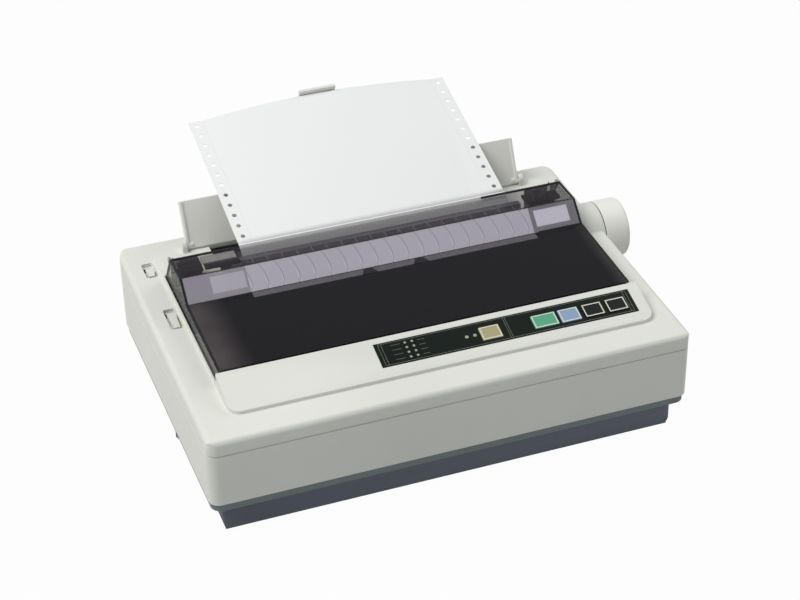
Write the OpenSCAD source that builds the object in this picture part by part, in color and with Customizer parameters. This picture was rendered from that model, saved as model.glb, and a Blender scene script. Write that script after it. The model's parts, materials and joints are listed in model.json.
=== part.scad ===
// Desktop dot matrix printer for fanfold paper, built as an assembly of its real pieces.
// Millimetres, +Z up, front towards -Y. The case is drawn about its own centre line and
// moved as a whole so that the origin is the bottom centre of everything.
// The paper's width sets the platen, frames, cover and case, side to side; the print bay
// and the gear train set the case front to back; the deck's height carries all above it.

/* [Case] */
// Width of the deck left of the cover
deck_l = 29.5; // [28.5:0.5:31]
// Width of the deck right of the cover
deck_r = 25.5; // [24:0.5:27]
// Depth of the print bay, from the panel's top edge to the platen
bay_d = 122; // [120:1:124]
// Depth of the case behind the tractor shaft
rear_room = 39.3; // [38:0.1:42]
// Height of the rubber feet below the base tray
foot_h = 3; // [2:0.5:4]
// Height of the joint between base tray and middle housing
base_top = 37; // [35:0.5:39]
// Height of the top deck at its front edge
deck_front_z = 97; // [96:0.5:98]
// Height of the top housing's front wall, above its joint with the middle housing
deck_h = 13; // [12:0.5:14]
// Rise of the top deck from front to rear
deck_rise = 8; // [7:0.5:9]
// Wall thickness of the plastic housings
wall = 2.5; // [2:0.1:3]
// Plan corner radius at the front of the case
front_r = 9; // [6:0.5:12]
// Plan corner radius at the rear of the case
rear_r = 18; // [14:1:22]
// Rounding along the top edges
top_r = 5; // [3:0.5:6]

/* [Base tray] */
// How far the base tray stands in from the case sides
plinth_in = 10; // [8:0.5:12]
// Height of the outer lip of the base tray under the case
lip_h = 7; // [5:0.5:9]

/* [Raised block and cover] */
// How far the raised block stands above the deck
plateau_h = 2; // [1.5:0.1:2.5]
// Distance from the case front to the foot of the sloping panel
wedge_setback = 27.7; // [26:0.1:30]
// Run of the sloping panel, front to back
panel_run = 39.3; // [38:0.1:42]
// Height of the sloping panel's top edge above the deck's front edge
wedge_rise = 15.3; // [15:0.1:16]
// Thickness of the smoked cover
cover_t = 1.8; // [1.5:0.1:2.2]
// Step from the panel's top edge up to the cover's front edge
cover_lip = 1.5; // [1:0.1:2]
// Rise of the cover's flat front part
cover_rise = 3.8; // [3:0.1:5]
// Height of the cover's sloping window
window_h = 15.9; // [15:0.1:17]
// Opening angle of the cover
cover_open_deg = 95; // [80:1:95]
// Radius of the cover's hinge pins
cover_pin_r = 1.6; // [1.4:0.1:1.7]

/* [Paper feed] */
// Radius of the platen roller
platen_r = 17; // [16.5:0.1:17.4]
// How far each end of the platen reaches past the paper
platen_over = 10.35; // [9:0.1:12]
// Radius of the platen shaft
shaft_r = 4; // [3.5:0.25:4.5]
// Radius of the platen knob
knob_r = 26.2; // [25:0.1:26.5]
// Length of the platen knob
knob_l = 23.2; // [20:0.1:26]
// Width of the fanfold paper, 9.5 inches
paper_w = 241.3; // [230:0.1:242]
// Length of one page, 11 inches
paper_l = 279.4; // [270:0.1:285]
// Spacing of the feed holes, half an inch
hole_pitch = 12.7; // [12.6:0.1:12.8]
// Thickness of the paper
paper_t = 0.3; // [0.2:0.05:0.35]
// How far the rear rest lifts the middle of the page above its edges
paper_bow = 7; // [5:0.5:8]
// Gear module
gear_m = 1; // [0.95:0.01:1]
// Teeth on the platen gear
platen_teeth = 40; // [39:1:41]
// Teeth on the idler gear
idler_teeth = 28; // [26:1:28]
// Teeth on the tractor gear
tractor_teeth = 28; // [26:1:30]
// Teeth on the motor pinion
pinion_teeth = 12; // [12:1:14]
// Face width of the gears
gear_t = 7; // [6:0.5:8]

/* [Printing] */
// Radius of the carriage shaft
rail_r = 6; // [5:0.5:6.5]
// Width of the carriage
carriage_w = 44; // [40:1:46]
// Height of the inked ribbon
ribbon_h = 13; // [11:0.5:13]
// Radius of the toothed belt pulleys
pulley_r = 6; // [5:0.5:7]

/* [Fits] */
// Radial running clearance of shafts and pins
run_fit = 0.05; // [0.03:0.01:0.08]
// Gap round moving keys and covers
gap = 0.5; // [0.4:0.1:0.7]

/* [Hidden] */
$fn = 48;
EPS = 0.01;

// ---- gear train, in the side view from the platen ----
centre_1 = gear_m * (platen_teeth + idler_teeth) / 2;
centre_2 = gear_m * (idler_teeth + tractor_teeth) / 2;
centre_3 = gear_m * (idler_teeth + pinion_teeth) / 2;
train_drop = 6.5;
train_deg = -asin(train_drop / (centre_1 + centre_2));
train_run = (centre_1 + centre_2) * cos(train_deg);

// ---- widths, from the paper outwards ----
bail_room = 24;
motor_room = 20;
frame_t = 2;
left_room = 26.5;
gear_room = 9.5;
platen_l = paper_w + 2 * platen_over;
gear_stand = frame_t + 2;
frame_span = platen_l + bail_room + motor_room;
cover_w = left_room + frame_span + gear_stand + gear_t + gear_room;
body_w = cover_w + deck_l + deck_r;
half_w = body_w / 2;
cover_l = -half_w + deck_l;
cover_r = half_w - deck_r;
cover_x = (cover_l + cover_r) / 2;
frame_l = cover_l + left_room;
frame_r = frame_l + frame_span;
platen_x0 = frame_l + bail_room;
platen_x1 = frame_r - motor_room;
paper_x = (platen_x0 + platen_x1) / 2;
gear_x = frame_r + gear_stand;
block_l = cover_l - 2.5;
block_r = cover_r + 5.5;

// ---- depths, from the front backwards ----
body_d = wedge_setback + panel_run + bay_d + train_run + rear_room;
half_d = body_d / 2;
wedge_y0 = -half_d + wedge_setback;
wedge_y1 = wedge_y0 + panel_run;
platen_y = wedge_y1 + bay_d;
tractor_y = platen_y + train_run;
block_rear_y = half_d - 22;
guide_y = half_d - 27;

// ---- heights, from the deck ----
seam_z = deck_front_z - deck_h;
deck_rear_z = deck_front_z + deck_rise;
deck_slope = (deck_rear_z - deck_front_z) / body_d;
deck_deg = atan(deck_slope);
function deck_z(y) = deck_front_z + (y + half_d) * deck_slope;
wedge_top_z = deck_front_z + wedge_rise;
cover_front_z = wedge_top_z + cover_lip;
crease_z = cover_front_z + cover_rise;
cover_top_z = crease_z + window_h;
platen_z = deck_front_z - 8.5;
ledge_z = deck_front_z - 5;
guide_z = deck_z(guide_y) + 6.25;

// ---- case ----
plinth_hw = half_w - plinth_in;
plinth_hd = half_d - 6;
plinth_taper = 6;
lip_z = base_top - lip_h;
inlet_x = -half_w + 39;
inlet_z = (base_top + seam_z) / 2 - 0.5;
port_x = half_w - 86;
port_z = inlet_z;
switch_y = -half_d + 133;
switch_z = foot_h + 13;

// ---- raised block, wedge and cover ----
wedge_z0 = deck_z(wedge_y0) + 3;
wedge_deg = atan((wedge_top_z - wedge_z0) / panel_run);
wedge_len = panel_run / cos(wedge_deg);
cover_y0 = wedge_y1 + 1;
crease_y = platen_y - 28;
window_top_y = platen_y - 11.6;
cover_y1 = platen_y + 20.7;
hinge_y = platen_y + 24;
hinge_z = cover_top_z - 3;
ear_y = platen_y + 40;
well_l = cover_l - 1;
well_r = cover_r + 1;
ledge_w = 22;
ledge_y1 = platen_y - 34;
well_y1 = platen_y + 21;
rear_well_l = platen_x0 - 4;
rear_well_r = platen_x1 + 4;
rear_well_y = tractor_y + 10.3;

// ---- paper feed ----
wrap_r = platen_r + 0.3 + paper_t / 2;
frame_top = ledge_z - 3.5;
tractor_z = platen_z - train_drop;
idler_y = platen_y + centre_1 * cos(train_deg);
idler_z = platen_z + centre_1 * sin(train_deg);
motor_y = idler_y;
motor_z = idler_z - centre_3;
motor_r = 17;
wheel_r = 6 * hole_pitch / (2 * PI) - 0.3;
pin_l = 2.6;
rod_z = tractor_z - wheel_r - pin_l - 4.4;
rod_r = 3;
// tooth phases, so that every pair is in mesh at rest
idler_phase = train_deg + 180 + 180 / idler_teeth;
function mesh_phase(phase, teeth, dir, mate_teeth) =
    dir + 180 + (-(phase - dir) * teeth / 360 - 0.5) * 360 / mate_teeth;
tractor_phase = mesh_phase(idler_phase, idler_teeth, train_deg, tractor_teeth);
pinion_phase = mesh_phase(idler_phase, idler_teeth, -90, pinion_teeth);

// paper path in the side view: tail, round the platen, up to the cover, then back at a slant
exit_deg = 15.5;
rise_deg = 43;
tail_deg = 26.5;
exit_y = cover_y1 - 1.5;
bend_r = 24;
leave_a = 90 + rise_deg;
enter_a = -90 + tail_deg;
leave_p = [platen_y + wrap_r * cos(leave_a), platen_z + wrap_r * sin(leave_a)];
enter_p = [platen_y + wrap_r * cos(enter_a), platen_z + wrap_r * sin(enter_a)];
rise_len = (exit_y - leave_p[0]) / cos(rise_deg);
exit_p = leave_p + rise_len * [cos(rise_deg), sin(rise_deg)];
bend_cut = bend_r * tan((rise_deg - exit_deg) / 2);
tail_len = 27;
wrap_len = wrap_r * (360 - (leave_a - enter_a)) * PI / 180;
bend_len = bend_r * (rise_deg - exit_deg) * PI / 180;
slant_len = paper_l - tail_len - wrap_len - (rise_len - bend_cut) - bend_len;
slant_dir = [cos(exit_deg), sin(exit_deg)];
slant_p = exit_p + bend_cut * slant_dir;
paper_end = slant_p + slant_len * slant_dir;
margin_w = hole_pitch;

// ---- printing ----
rail_y = platen_y - 46;
rail_z = platen_z - 22.5;
head_x = cover_x;
print_y = platen_y - platen_r - 0.3 - paper_t;
ribbon_y = print_y - 0.5;
ribbon_t = 0.4;
ribbon_z0 = platen_z - ribbon_h / 2;
cas_l = frame_l + 7;
cas_r = frame_r - 5;
cas_y0 = wedge_y1 + 4;
cas_z0 = platen_z - 4.5;
cas_z1 = platen_z + 11.5;
spool_x = cas_l + 23;
spool_y = cas_y0 + 16;
belt_y = rail_y - 54;
belt_x0 = frame_l + 22;
belt_x1 = frame_r - 22;
belt_z = rail_z - 6;
belt_w = 6;
belt_t = 1.2;
floor_z = foot_h + wall;
plate_z = floor_z + 6.5;
plate_t = 1.5;
frame_z0 = plate_z + plate_t;
frame_y0 = wedge_y1 + 16;
frame_y1 = tractor_y + 16.3;
board_z = frame_z0 + 8.5;

// ---- bail ----
bail_y = platen_y - 14;
bail_z = platen_z - 16.5;
bail_roll_r = 6;
bail_open_deg = 14;
bail_a = 128;
bail_d = platen_r + 0.3 + paper_t + 0.5 + bail_roll_r;
bail_shut = [platen_y + bail_d * cos(bail_a) - bail_y, platen_z + bail_d * sin(bail_a) - bail_z];
bail_rod = [bail_y + bail_shut[0] * cos(bail_open_deg) - bail_shut[1] * sin(bail_open_deg),
    bail_z + bail_shut[0] * sin(bail_open_deg) + bail_shut[1] * cos(bail_open_deg)];
bail_x0 = frame_l + frame_t + 1.5;
bail_x1 = frame_r - 3.5;

// ---- levers on the deck ----
lever_x = block_l - 7.5;
release_y = tractor_y - 4.7;
release_z = tractor_z - 6;
bail_cap_y = bail_y - 8.5;
bail_cap_l = 10;
release_cap_y = release_y - 4;
release_cap_l = 5;
release_deg = 12;

// ---- rear paper guide and its rest ----
guide_hw = cover_w / 2 - 22.5;
guide_deg = 25;
guide_len = 38;
guide_t = 2.4;
arm_hw = 17;
arm_deg = 21;
arm_y = guide_y + 34 * sin(guide_deg) + 4 * cos(guide_deg);
arm_z = guide_z + 34 * cos(guide_deg) - 4 * sin(guide_deg);
tab_h = 13;
arm_l = (paper_end[0] + 4 - arm_y) / cos(arm_deg) + 2;

// ---- origin: bottom centre of the whole machine ----
knob_x0 = half_w + 0.8;
knob_x1 = knob_x0 + knob_l;
rear_y = arm_y + arm_l * cos(arm_deg) + 1.2 * sin(arm_deg);
origin_x = (knob_x1 - half_w) / 2;
origin_y = (rear_y - half_d) / 2;

// ---- colours ----
beige = [0.90, 0.90, 0.87];
slate = [0.23, 0.27, 0.32];
smoke = [0.16, 0.15, 0.17, 0.65];
black = [0.08, 0.08, 0.09];
steel = [0.70, 0.71, 0.72];

// ================= helpers =================
module in_case() translate([-origin_x, -origin_y, 0]) children();

// a profile in the side view (y, z), drawn from x0 to x1
module side_view(x0, x1) translate([x0, 0, 0]) rotate([90, 0, 90]) linear_extrude(x1 - x0) children();

// a profile in the front view (x, z), drawn from y0 to y1
module front_view(y0, y1) translate([0, y1, 0]) rotate([90, 0, 0]) linear_extrude(y1 - y0) children();

module box(x0, x1, y0, y1, z0, z1) translate([x0, y0, z0]) cube([x1 - x0, y1 - y0, z1 - z0]);

module x_rod(y, z, r, x0, x1) translate([x0, y, z]) rotate([0, 90, 0]) cylinder(r = r, h = x1 - x0);

module z_rod(x, y, r, z0, z1) translate([x, y, z0]) cylinder(r = r, h = z1 - z0);

// rounded rectangle in plan with its own front and rear radius
module plan(hw, hd, rf, rr) {
    translate([-hw + rf, -hd]) square([2 * (hw - rf), hd + 1]);
    translate([-hw, -hd + rf]) square([2 * hw, 2 * hd - rf - rr]);
    translate([-hw + rr, 0]) square([2 * (hw - rr), hd]);
    for (s = [-1, 1]) {
        translate([s * (hw - rf), -hd + rf]) circle(rf);
        translate([s * (hw - rr), hd - rr]) circle(rr);
    }
}

// rounded rectangle between two corners
module round_rect(x0, y0, x1, y1, r) {
    translate([x0 + r, y0]) square([x1 - x0 - 2 * r, y1 - y0]);
    translate([x0, y0 + r]) square([x1 - x0, y1 - y0 - 2 * r]);
    for (x = [x0 + r, x1 - r], y = [y0 + r, y1 - r]) translate([x, y]) circle(r);
}

// closed outline of a strip of thickness t that follows a list of points
function strip_side(p, t) = [for (i = [0 : len(p) - 1])
    let (a = p[max(i - 1, 0)], b = p[min(i + 1, len(p) - 1)], d = (b - a) / norm(b - a))
    p[i] + t / 2 * [-d[1], d[0]]];
function reversed(p) = [for (i = [len(p) - 1 : -1 : 0]) p[i]];
module strip(p, t) polygon(concat(strip_side(p, t), reversed(strip_side(p, -t))));

// involute spur gear outline
pressure = 20;
function involute(rb, r) = let (t = sqrt(max(pow(r / rb, 2) - 1, 0))) t * 180 / PI - atan(t);
module gear_outline(teeth, phase) {
    r = gear_m * teeth / 2;
    rb = r * cos(pressure);
    root = r - 1.3 * gear_m;
    tip = r + 0.95 * gear_m;
    half = 90 / teeth + involute(rb, r) - 0.06 / r * 180 / PI;
    radii = [max(rb, root), r - 0.35 * gear_m, r, r + 0.5 * gear_m, tip];
    polygon([for (i = [0 : teeth - 1])
        let (c = phase + i * 360 / teeth,
            a = [for (q = radii) half - involute(rb, q)],
            n = len(radii) - 1)
        each concat(
            [root * [cos(c - a[0]), sin(c - a[0])]],
            [for (k = [0 : n]) radii[k] * [cos(c - a[k]), sin(c - a[k])]],
            [for (k = [n : -1 : 0]) radii[k] * [cos(c + a[k]), sin(c + a[k])]],
            [root * [cos(c + a[0]), sin(c + a[0])]])]);
}

// a spur gear on the x axis at (y, z), with hub and bore
module spur(y, z, teeth, phase, bore_r, hub_r, x0 = gear_x, t = gear_t) {
    side_view(x0, x0 + t) difference() {
        translate([y, z]) gear_outline(teeth, phase);
        translate([y, z]) circle(bore_r);
    }
    if (hub_r > 0) side_view(x0 + t, x0 + t + 2.5) difference() {
        translate([y, z]) circle(hub_r);
        translate([y, z]) circle(bore_r);
    }
}

// local frame of the sloping panel: x across, y up the slope, z out of it
module on_wedge() translate([0, wedge_y0, wedge_z0]) rotate([wedge_deg, 0, 0]) children();

// ================= case =================
module lower_case() in_case() color(slate) difference() {
    union() {
        translate([0, 0, foot_h]) plinth_solid(0);
        translate([0, 0, lip_z]) linear_extrude(lip_h) plan(half_w - 1.5, half_d - 1.5, front_r, rear_r);
    }
    translate([0, 0, foot_h + wall]) plinth_solid(wall);
    translate([0, 0, lip_z + wall]) linear_extrude(lip_h)
        plan(half_w - 1.5 - wall, half_d - 1.5 - wall, front_r - wall, rear_r - wall);
    // cooling slots in the floor
    for (i = [-6 : 6]) box(i * 14 - 2, i * 14 + 2, platen_y - 4, tractor_y + 4, 0, floor_z + 4);
    // opening of the power switch
    box(-half_w, -plinth_hw + 12, switch_y - 11.4, switch_y + 11.4, switch_z - 7.2, switch_z + 7.2);
}

// solid that the base tray is cut from, narrower towards the floor
module plinth_solid(inset) {
    h = lip_z - foot_h + 1;
    hw = plinth_hw - inset;
    hd = plinth_hd - inset;
    r = 10 - inset;
    intersection() {
        linear_extrude(inset > 0 ? h + lip_h : h) plan(hw, hd, r, r);
        front_view(-hd - 1, hd + 1) polygon([[-hw + plinth_taper / 2, 0], [hw - plinth_taper / 2, 0],
            [hw, foot_h + 11], [hw, seam_z], [-hw, seam_z], [-hw, foot_h + 11]]);
        side_view(-hw - 1, hw + 1) polygon([[-hd + plinth_taper, 0], [hd - plinth_taper, 0],
            [hd, lip_z - 6], [hd, seam_z], [-hd, seam_z], [-hd, lip_z - 6]]);
    }
}

module rubber_feet() in_case() color(black)
    for (x = [-1, 1], y = [-1, 1])
        z_rod(x * (plinth_hw - 22), y * (plinth_hd - 22), 9, 0, foot_h);

module mid_housing() in_case() color(beige) difference() {
    union() {
        translate([0, 0, base_top]) linear_extrude(seam_z - base_top - 1.2) plan(half_w, half_d, front_r, rear_r);
        translate([0, 0, base_top]) linear_extrude(seam_z - base_top)
            plan(half_w - 1, half_d - 1, front_r - 1, rear_r - 1);
    }
    translate([0, 0, base_top - 1]) linear_extrude(seam_z)
        plan(half_w - wall, half_d - wall, front_r - wall, rear_r - wall);
    // rear cut-outs: mains inlet, parallel connector, vents
    box(inlet_x - 13.6, inlet_x + 13.6, half_d - 8, half_d + 8, inlet_z - 10, inlet_z + 10);
    box(port_x - 31, port_x + 31, half_d - 8, half_d + 8, port_z - 7, port_z + 7);
    for (i = [-9 : 9]) box(i * 7 - 1.5, i * 7 + 1.5, half_d - 8, half_d + 8, base_top + 15, seam_z - 10);
}

// outer form of the top housing, or its inside when inset
module deck_solid(inset) intersection() {
    translate([0, 0, inset > 0 ? seam_z - 5 : seam_z]) linear_extrude(deck_h + deck_rise + 10)
        plan(half_w - inset, half_d - inset, front_r - inset, rear_r - inset);
    translate([0, -half_d, deck_front_z - inset]) rotate([deck_deg, 0, 0]) front_view(-20, body_d + 20)
        union() {
            translate([-half_w + inset, -40]) square([body_w - 2 * inset, 40 - top_r]);
            translate([-half_w + top_r, -40]) square([body_w - 2 * top_r, 40]);
            for (s = [-1, 1]) translate([s * (half_w - top_r), -top_r]) circle(top_r - inset);
        }
    side_view(-half_w - 1, half_w + 1) front_edge(inset);
}

// side profile that rounds the front and rear top edges
module front_edge(inset) {
    r = top_r;
    zf = deck_z(-half_d + r) + 0.04;
    zr = deck_z(half_d - r) + 0.04;
    polygon([[-half_d + inset, seam_z - 10], [half_d - inset, seam_z - 10], [half_d - inset, zr - r],
        [half_d - r, zr - r], [half_d - r, zr], [-half_d + r, zf], [-half_d + r, zf - r], [-half_d + inset, zf - r]]);
    translate([-half_d + r, zf - r]) circle(r - inset);
    translate([half_d - r, zr - r]) circle(r - inset);
}

// raised block with the sloping panel at its front
module block_solid(inset) intersection() {
    translate([0, 0, seam_z - 5]) linear_extrude(60)
        round_rect(block_l + inset, wedge_y0 + inset, block_r - inset, block_rear_y - inset, 10 - inset);
    side_view(block_l - 1, block_r + 1) polygon([
        [wedge_y0 - 1, seam_z - 5], [wedge_y0 - 1, wedge_z0 - inset - tan(wedge_deg)],
        [wedge_y1, wedge_top_z - inset], [wedge_y1, deck_z(wedge_y1) + plateau_h - inset],
        [block_rear_y + 1, deck_z(block_rear_y + 1) + plateau_h - inset], [block_rear_y + 1, seam_z - 5]]);
}

module top_housing() in_case() color(beige) difference() {
    union() {
        difference() {
            union() {
                deck_solid(0);
                block_solid(0);
                hump(knob_r, well_r + 0.6, half_w);
            }
            difference() {
                union() {
                    deck_solid(wall);
                    block_solid(wall);
                    hump(knob_r - wall, well_r - 1, half_w - wall);
                }
                well_walls();
            }
        }
        hinge_posts();
        guide_lugs();
        lever_tray(release_tray);
        lever_tray(bail_tray);
    }
    // well under the cover, its rear part for the paper, and the slots for the cover's ears
    box(well_l + ledge_w, well_r - ledge_w, wedge_y1, well_y1, base_top, cover_top_z);
    box(well_l, well_r, wedge_y1, well_y1, ledge_z, cover_top_z);
    box(well_l, well_r, ledge_y1, well_y1, base_top, cover_top_z);
    for (x = [well_l, well_r - cover_t - 2.6])
        box(x, x + cover_t + 2.6, ledge_y1 - 10, ear_y + 2, base_top, cover_top_z);
    box(rear_well_l, rear_well_r, platen_y, rear_well_y, base_top, cover_top_z);
    // clearance round the platen shaft in the right wall
    x_rod(platen_y, platen_z, shaft_r + 3, well_r - 5, half_w + 5);
    // lever recesses and slots
    lever_recess(release_tray, release_cap_y - 3.5, release_y + 7);
    lever_recess(bail_tray, bail_cap_y - 3.5, bail_cap_y + 15);
    // opening behind the panel plate
    on_wedge() {
        box(panel_x0, panel_x1, panel_v0, panel_v1, -panel_t, 20);
        box(panel_x0 + 4, panel_x1 - 4, panel_v0 + 3, panel_v1 - 3, -8, 20);
    }
}

// half round over the platen shaft on the right of the deck
module hump(r, x0, x1) intersection() {
    x_rod(platen_y, platen_z, r, x0, x1);
    box(x0, x1, platen_y - knob_r - 5, platen_y + knob_r + 5, seam_z, platen_z + knob_r + 5);
}

// upright walls that line the well
module well_walls() {
    for (x = [well_l - 2, well_r])
        box(x, x + 2, wedge_y1 - 2, ear_y + 4, ledge_z - wall, deck_z(platen_y - 4) + plateau_h);
    box(well_l, well_r, wedge_y1 - wall, wedge_y1, ledge_z - wall, wedge_top_z);
    for (x = [well_l, well_r - ledge_w]) box(x, x + ledge_w, wedge_y1, ledge_y1, ledge_z - wall, ledge_z);
}

module hinge_posts() for (s = [0, 1]) {
    x0 = s == 0 ? cover_l + cover_t + 2 : cover_r - cover_t - 2 - 5;
    difference() {
        union() {
            x_rod(hinge_y, hinge_z, 2.6, x0, x0 + 5);
            box(x0, x0 + 5, hinge_y - 2.6, hinge_y + 2.6, deck_z(hinge_y), hinge_z);
            side_view(x0, x0 + 5) polygon([[hinge_y, deck_z(hinge_y)], [hinge_y + 12, deck_z(hinge_y)],
                [hinge_y + 2.6, hinge_z - 8], [hinge_y, hinge_z - 8]]);
        }
        x_rod(hinge_y, hinge_z, cover_pin_r + run_fit, x0 - 1, x0 + 6);
    }
}

module guide_lugs() for (s = [-1, 1]) {
    x0 = paper_x + (s < 0 ? -guide_hw - 4.5 : guide_hw + 0.5);
    difference() {
        union() {
            box(x0, x0 + 4, guide_y - 5, guide_y + 5, deck_z(guide_y) - 1, guide_z);
            x_rod(guide_y, guide_z, 5, x0, x0 + 4);
        }
        x_rod(guide_y, guide_z, 2.5 + run_fit, x0 - 1, x0 + 5);
    }
}

// dish round a lever's cap with a slot for the blade, and the thicker deck under it
release_tray = [release_y - 11, release_y + 11];
bail_tray = [bail_cap_y - bail_cap_l - 1.5, bail_cap_y + bail_cap_l + 8];
module lever_tray(t) box(lever_x - 7, lever_x + 7, t[0] - 2, t[1] + 2, deck_z(t[0]) - 5, deck_z(t[0]) - 1);
module lever_recess(t, s0, s1) {
    translate([0, 0, deck_z(t[0]) - 3]) linear_extrude(20) round_rect(lever_x - 5, t[0], lever_x + 5, t[1], 2);
    box(lever_x - 2, lever_x + 2, s0, s1, deck_front_z - deck_h, cover_top_z);
}

// ================= control panel =================
panel_x1 = cover_r - 4.5;
panel_x0 = panel_x1 - 223;
panel_v0 = 10.4;
panel_v1 = panel_v0 + 24.8;
panel_t = 1.2;
key_v0 = panel_v0 + 4.4;
key_v1 = key_v0 + 13.6;
key_v = (key_v0 + key_v1) / 2;
key_step = 20.9;
load_x = panel_x1 - 16;
feed_x = load_x - key_step;
font_x = feed_x - key_step;
online_x = font_x - key_step - 1;
page_x = online_x - 47.4;
key_w = 17.4;
online_w = 21.3;
lamp_v = key_v + 0.6;
lamp_x = [page_x - 20.4, page_x - 13.4];
status_x = [panel_x0 + 25.5, panel_x0 + 31.5];
status_v = [for (i = [0 : 3]) panel_v0 + 5.1 + 5 * i];

module panel_plate() in_case() color(black) on_wedge() difference() {
    box(panel_x0 + 0.15, panel_x1 - 0.15, panel_v0 + 0.15, panel_v1 - 0.15, -panel_t, 0.3);
    for (k = [[page_x, key_w], [online_x, online_w], [font_x, key_w], [feed_x, key_w], [load_x, key_w]])
        box(k[0] - k[1] / 2 - gap / 2, k[0] + k[1] / 2 + gap / 2, key_v0 - gap / 2, key_v1 + gap / 2, -5, 5);
    for (x = lamp_x) z_rod(x, lamp_v, 1.5, -5, 5);
    for (x = status_x, v = status_v) z_rod(x, v, 1.1, -5, 5);
}

module indicator_lenses() in_case() color([0.85, 0.9, 0.8]) on_wedge() {
    for (x = lamp_x) z_rod(x, lamp_v, 1.5, -8, 0.7);
    for (x = status_x, v = status_v) z_rod(x, v, 1.1, -8, 0.5);
}

module key_board() in_case() color([0.15, 0.4, 0.25]) on_wedge() {
    box(panel_x0 + 8, panel_x1 - 8, panel_v0 - 2, panel_v1 - 1.5, -9.5, -8);
    for (x = [panel_x0 + 12, panel_x1 - 12], v = [panel_v0 + 0.5, panel_v1 - 3.5]) z_rod(x, v, 2, -8, -wall);
    for (x = [page_x, online_x, font_x, feed_x, load_x])
        box(x - 3, x + 3, key_v - 3, key_v + 3, -8, -5.4);
}

module key_cap(x, w) on_wedge() {
    box(x - w / 2, x + w / 2, key_v0, key_v1, -3.2, 1.2);
    box(x - w / 2 - 1, x + w / 2 + 1, key_v0 - 1, key_v1 + 1, -3.2, -panel_t - 0.05);
    z_rod(x, key_v, 1.6, -4.3, -3.2);
}
module page_key() in_case() color([0.76, 0.71, 0.56]) key_cap(page_x, key_w);
module online_key() in_case() color([0.30, 0.65, 0.48]) key_cap(online_x, online_w);
module font_key() in_case() color([0.60, 0.68, 0.80]) key_cap(font_x, key_w);
module feed_key() in_case() color(black) key_cap(feed_x, key_w);
module load_key() in_case() color(black) key_cap(load_x, key_w);

// ================= cover =================
module cover_side() polygon([[cover_y0, deck_z(cover_y0) + 1], [cover_y0, cover_front_z], [crease_y, crease_z],
    [window_top_y, cover_top_z], [cover_y1, cover_top_z], [ear_y, deck_z(ear_y) + plateau_h + 0.4],
    [ear_y, deck_z(ear_y) + 1]]);
module cover_inside(t) polygon([[cover_y0 + t, base_top], [cover_y0 + t, cover_front_z - t],
    [crease_y + t * 0.4, crease_z - t], [window_top_y + t * 0.4, cover_top_z - t], [cover_y1, cover_top_z - t],
    [cover_y1, cover_top_z + 5], [ear_y + 30, cover_top_z + 5], [ear_y + 30, base_top]]);

module smoked_cover() in_case() color(smoke) {
    difference() {
        side_view(cover_l, cover_r) cover_side();
        side_view(cover_l + cover_t, cover_r - cover_t) cover_inside(cover_t);
    }
    for (s = [0, 1]) {
        x0 = s == 0 ? cover_l : cover_r - cover_t;
        x_rod(hinge_y, hinge_z, 3, x0, x0 + cover_t);
        x_rod(hinge_y, hinge_z, cover_pin_r, s == 0 ? x0 : x0 - 7, s == 0 ? x0 + cover_t + 7 : x0 + cover_t);
    }
}

// ribbed paper guide with a tear edge, fixed inside the window
module tear_bar() in_case() color([0.85, 0.85, 0.88, 0.5]) {
    z = cover_top_z - cover_t;
    side_view(platen_x0 + 5, platen_x1 - 5) polygon([[platen_y, z], [platen_y + 6, z],
        [platen_y + 6, z - 3], [platen_y + 2, z - 6], [platen_y, z - 6]]);
    n = floor((platen_x1 - platen_x0 - 20) / 26);
    for (i = [-n : n]) side_view(paper_x + i * 13 - 0.6, paper_x + i * 13 + 0.6)
        polygon([[platen_y - 8, z], [platen_y, z], [platen_y, z - 6], [platen_y - 17, z - 10.4],
            [platen_y - 17, z - 8.6]]);
}

// ================= rear guide =================
module in_guide() translate([0, guide_y, guide_z]) rotate([-guide_deg, 0, 0]) children();

// side cheek of the guide, kept round the hinge so that it clears the deck when folded
module guide_cheek(x) side_view(x, x + 2)
    polygon([[-2.5, -2], [3, -2], [5, 6], [5, guide_len], [-2.5, guide_len]]);

module sheet_guide() in_case() color(beige) {
    in_guide() difference() {
        union() {
            box(paper_x - guide_hw, paper_x + guide_hw, -guide_t / 2, guide_t / 2, -3, guide_len);
            for (x = [paper_x - guide_hw, paper_x + guide_hw - 2]) guide_cheek(x);
            box(paper_x - guide_hw, paper_x + guide_hw, 0, 4, guide_len - 2, guide_len);
            for (i = [-5 : 5]) if (i != 0) side_view(paper_x + i * 27 - 1, paper_x + i * 27 + 1)
                polygon([[0, 0], [3, 0], [4, 4], [4, guide_len], [0, guide_len]]);
        }
        box(paper_x - arm_hw - 1, paper_x + arm_hw + 1, -1.2, 10, 30, guide_len + 5);
    }
    difference() {
        in_guide() for (s = [-1, 1])
            box(paper_x + s * (arm_hw + 3) - 1.5, paper_x + s * (arm_hw + 3) + 1.5, 0, 8, 26, guide_len);
        x_rod(arm_y, arm_z, 1.8 + run_fit, paper_x - arm_hw - 13, paper_x + arm_hw + 13);
    }
    x_rod(guide_y, guide_z, 2.5, paper_x - guide_hw - 4.5, paper_x - guide_hw + 6);
    x_rod(guide_y, guide_z, 2.5, paper_x + guide_hw - 6, paper_x + guide_hw + 4.5);
}

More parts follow.
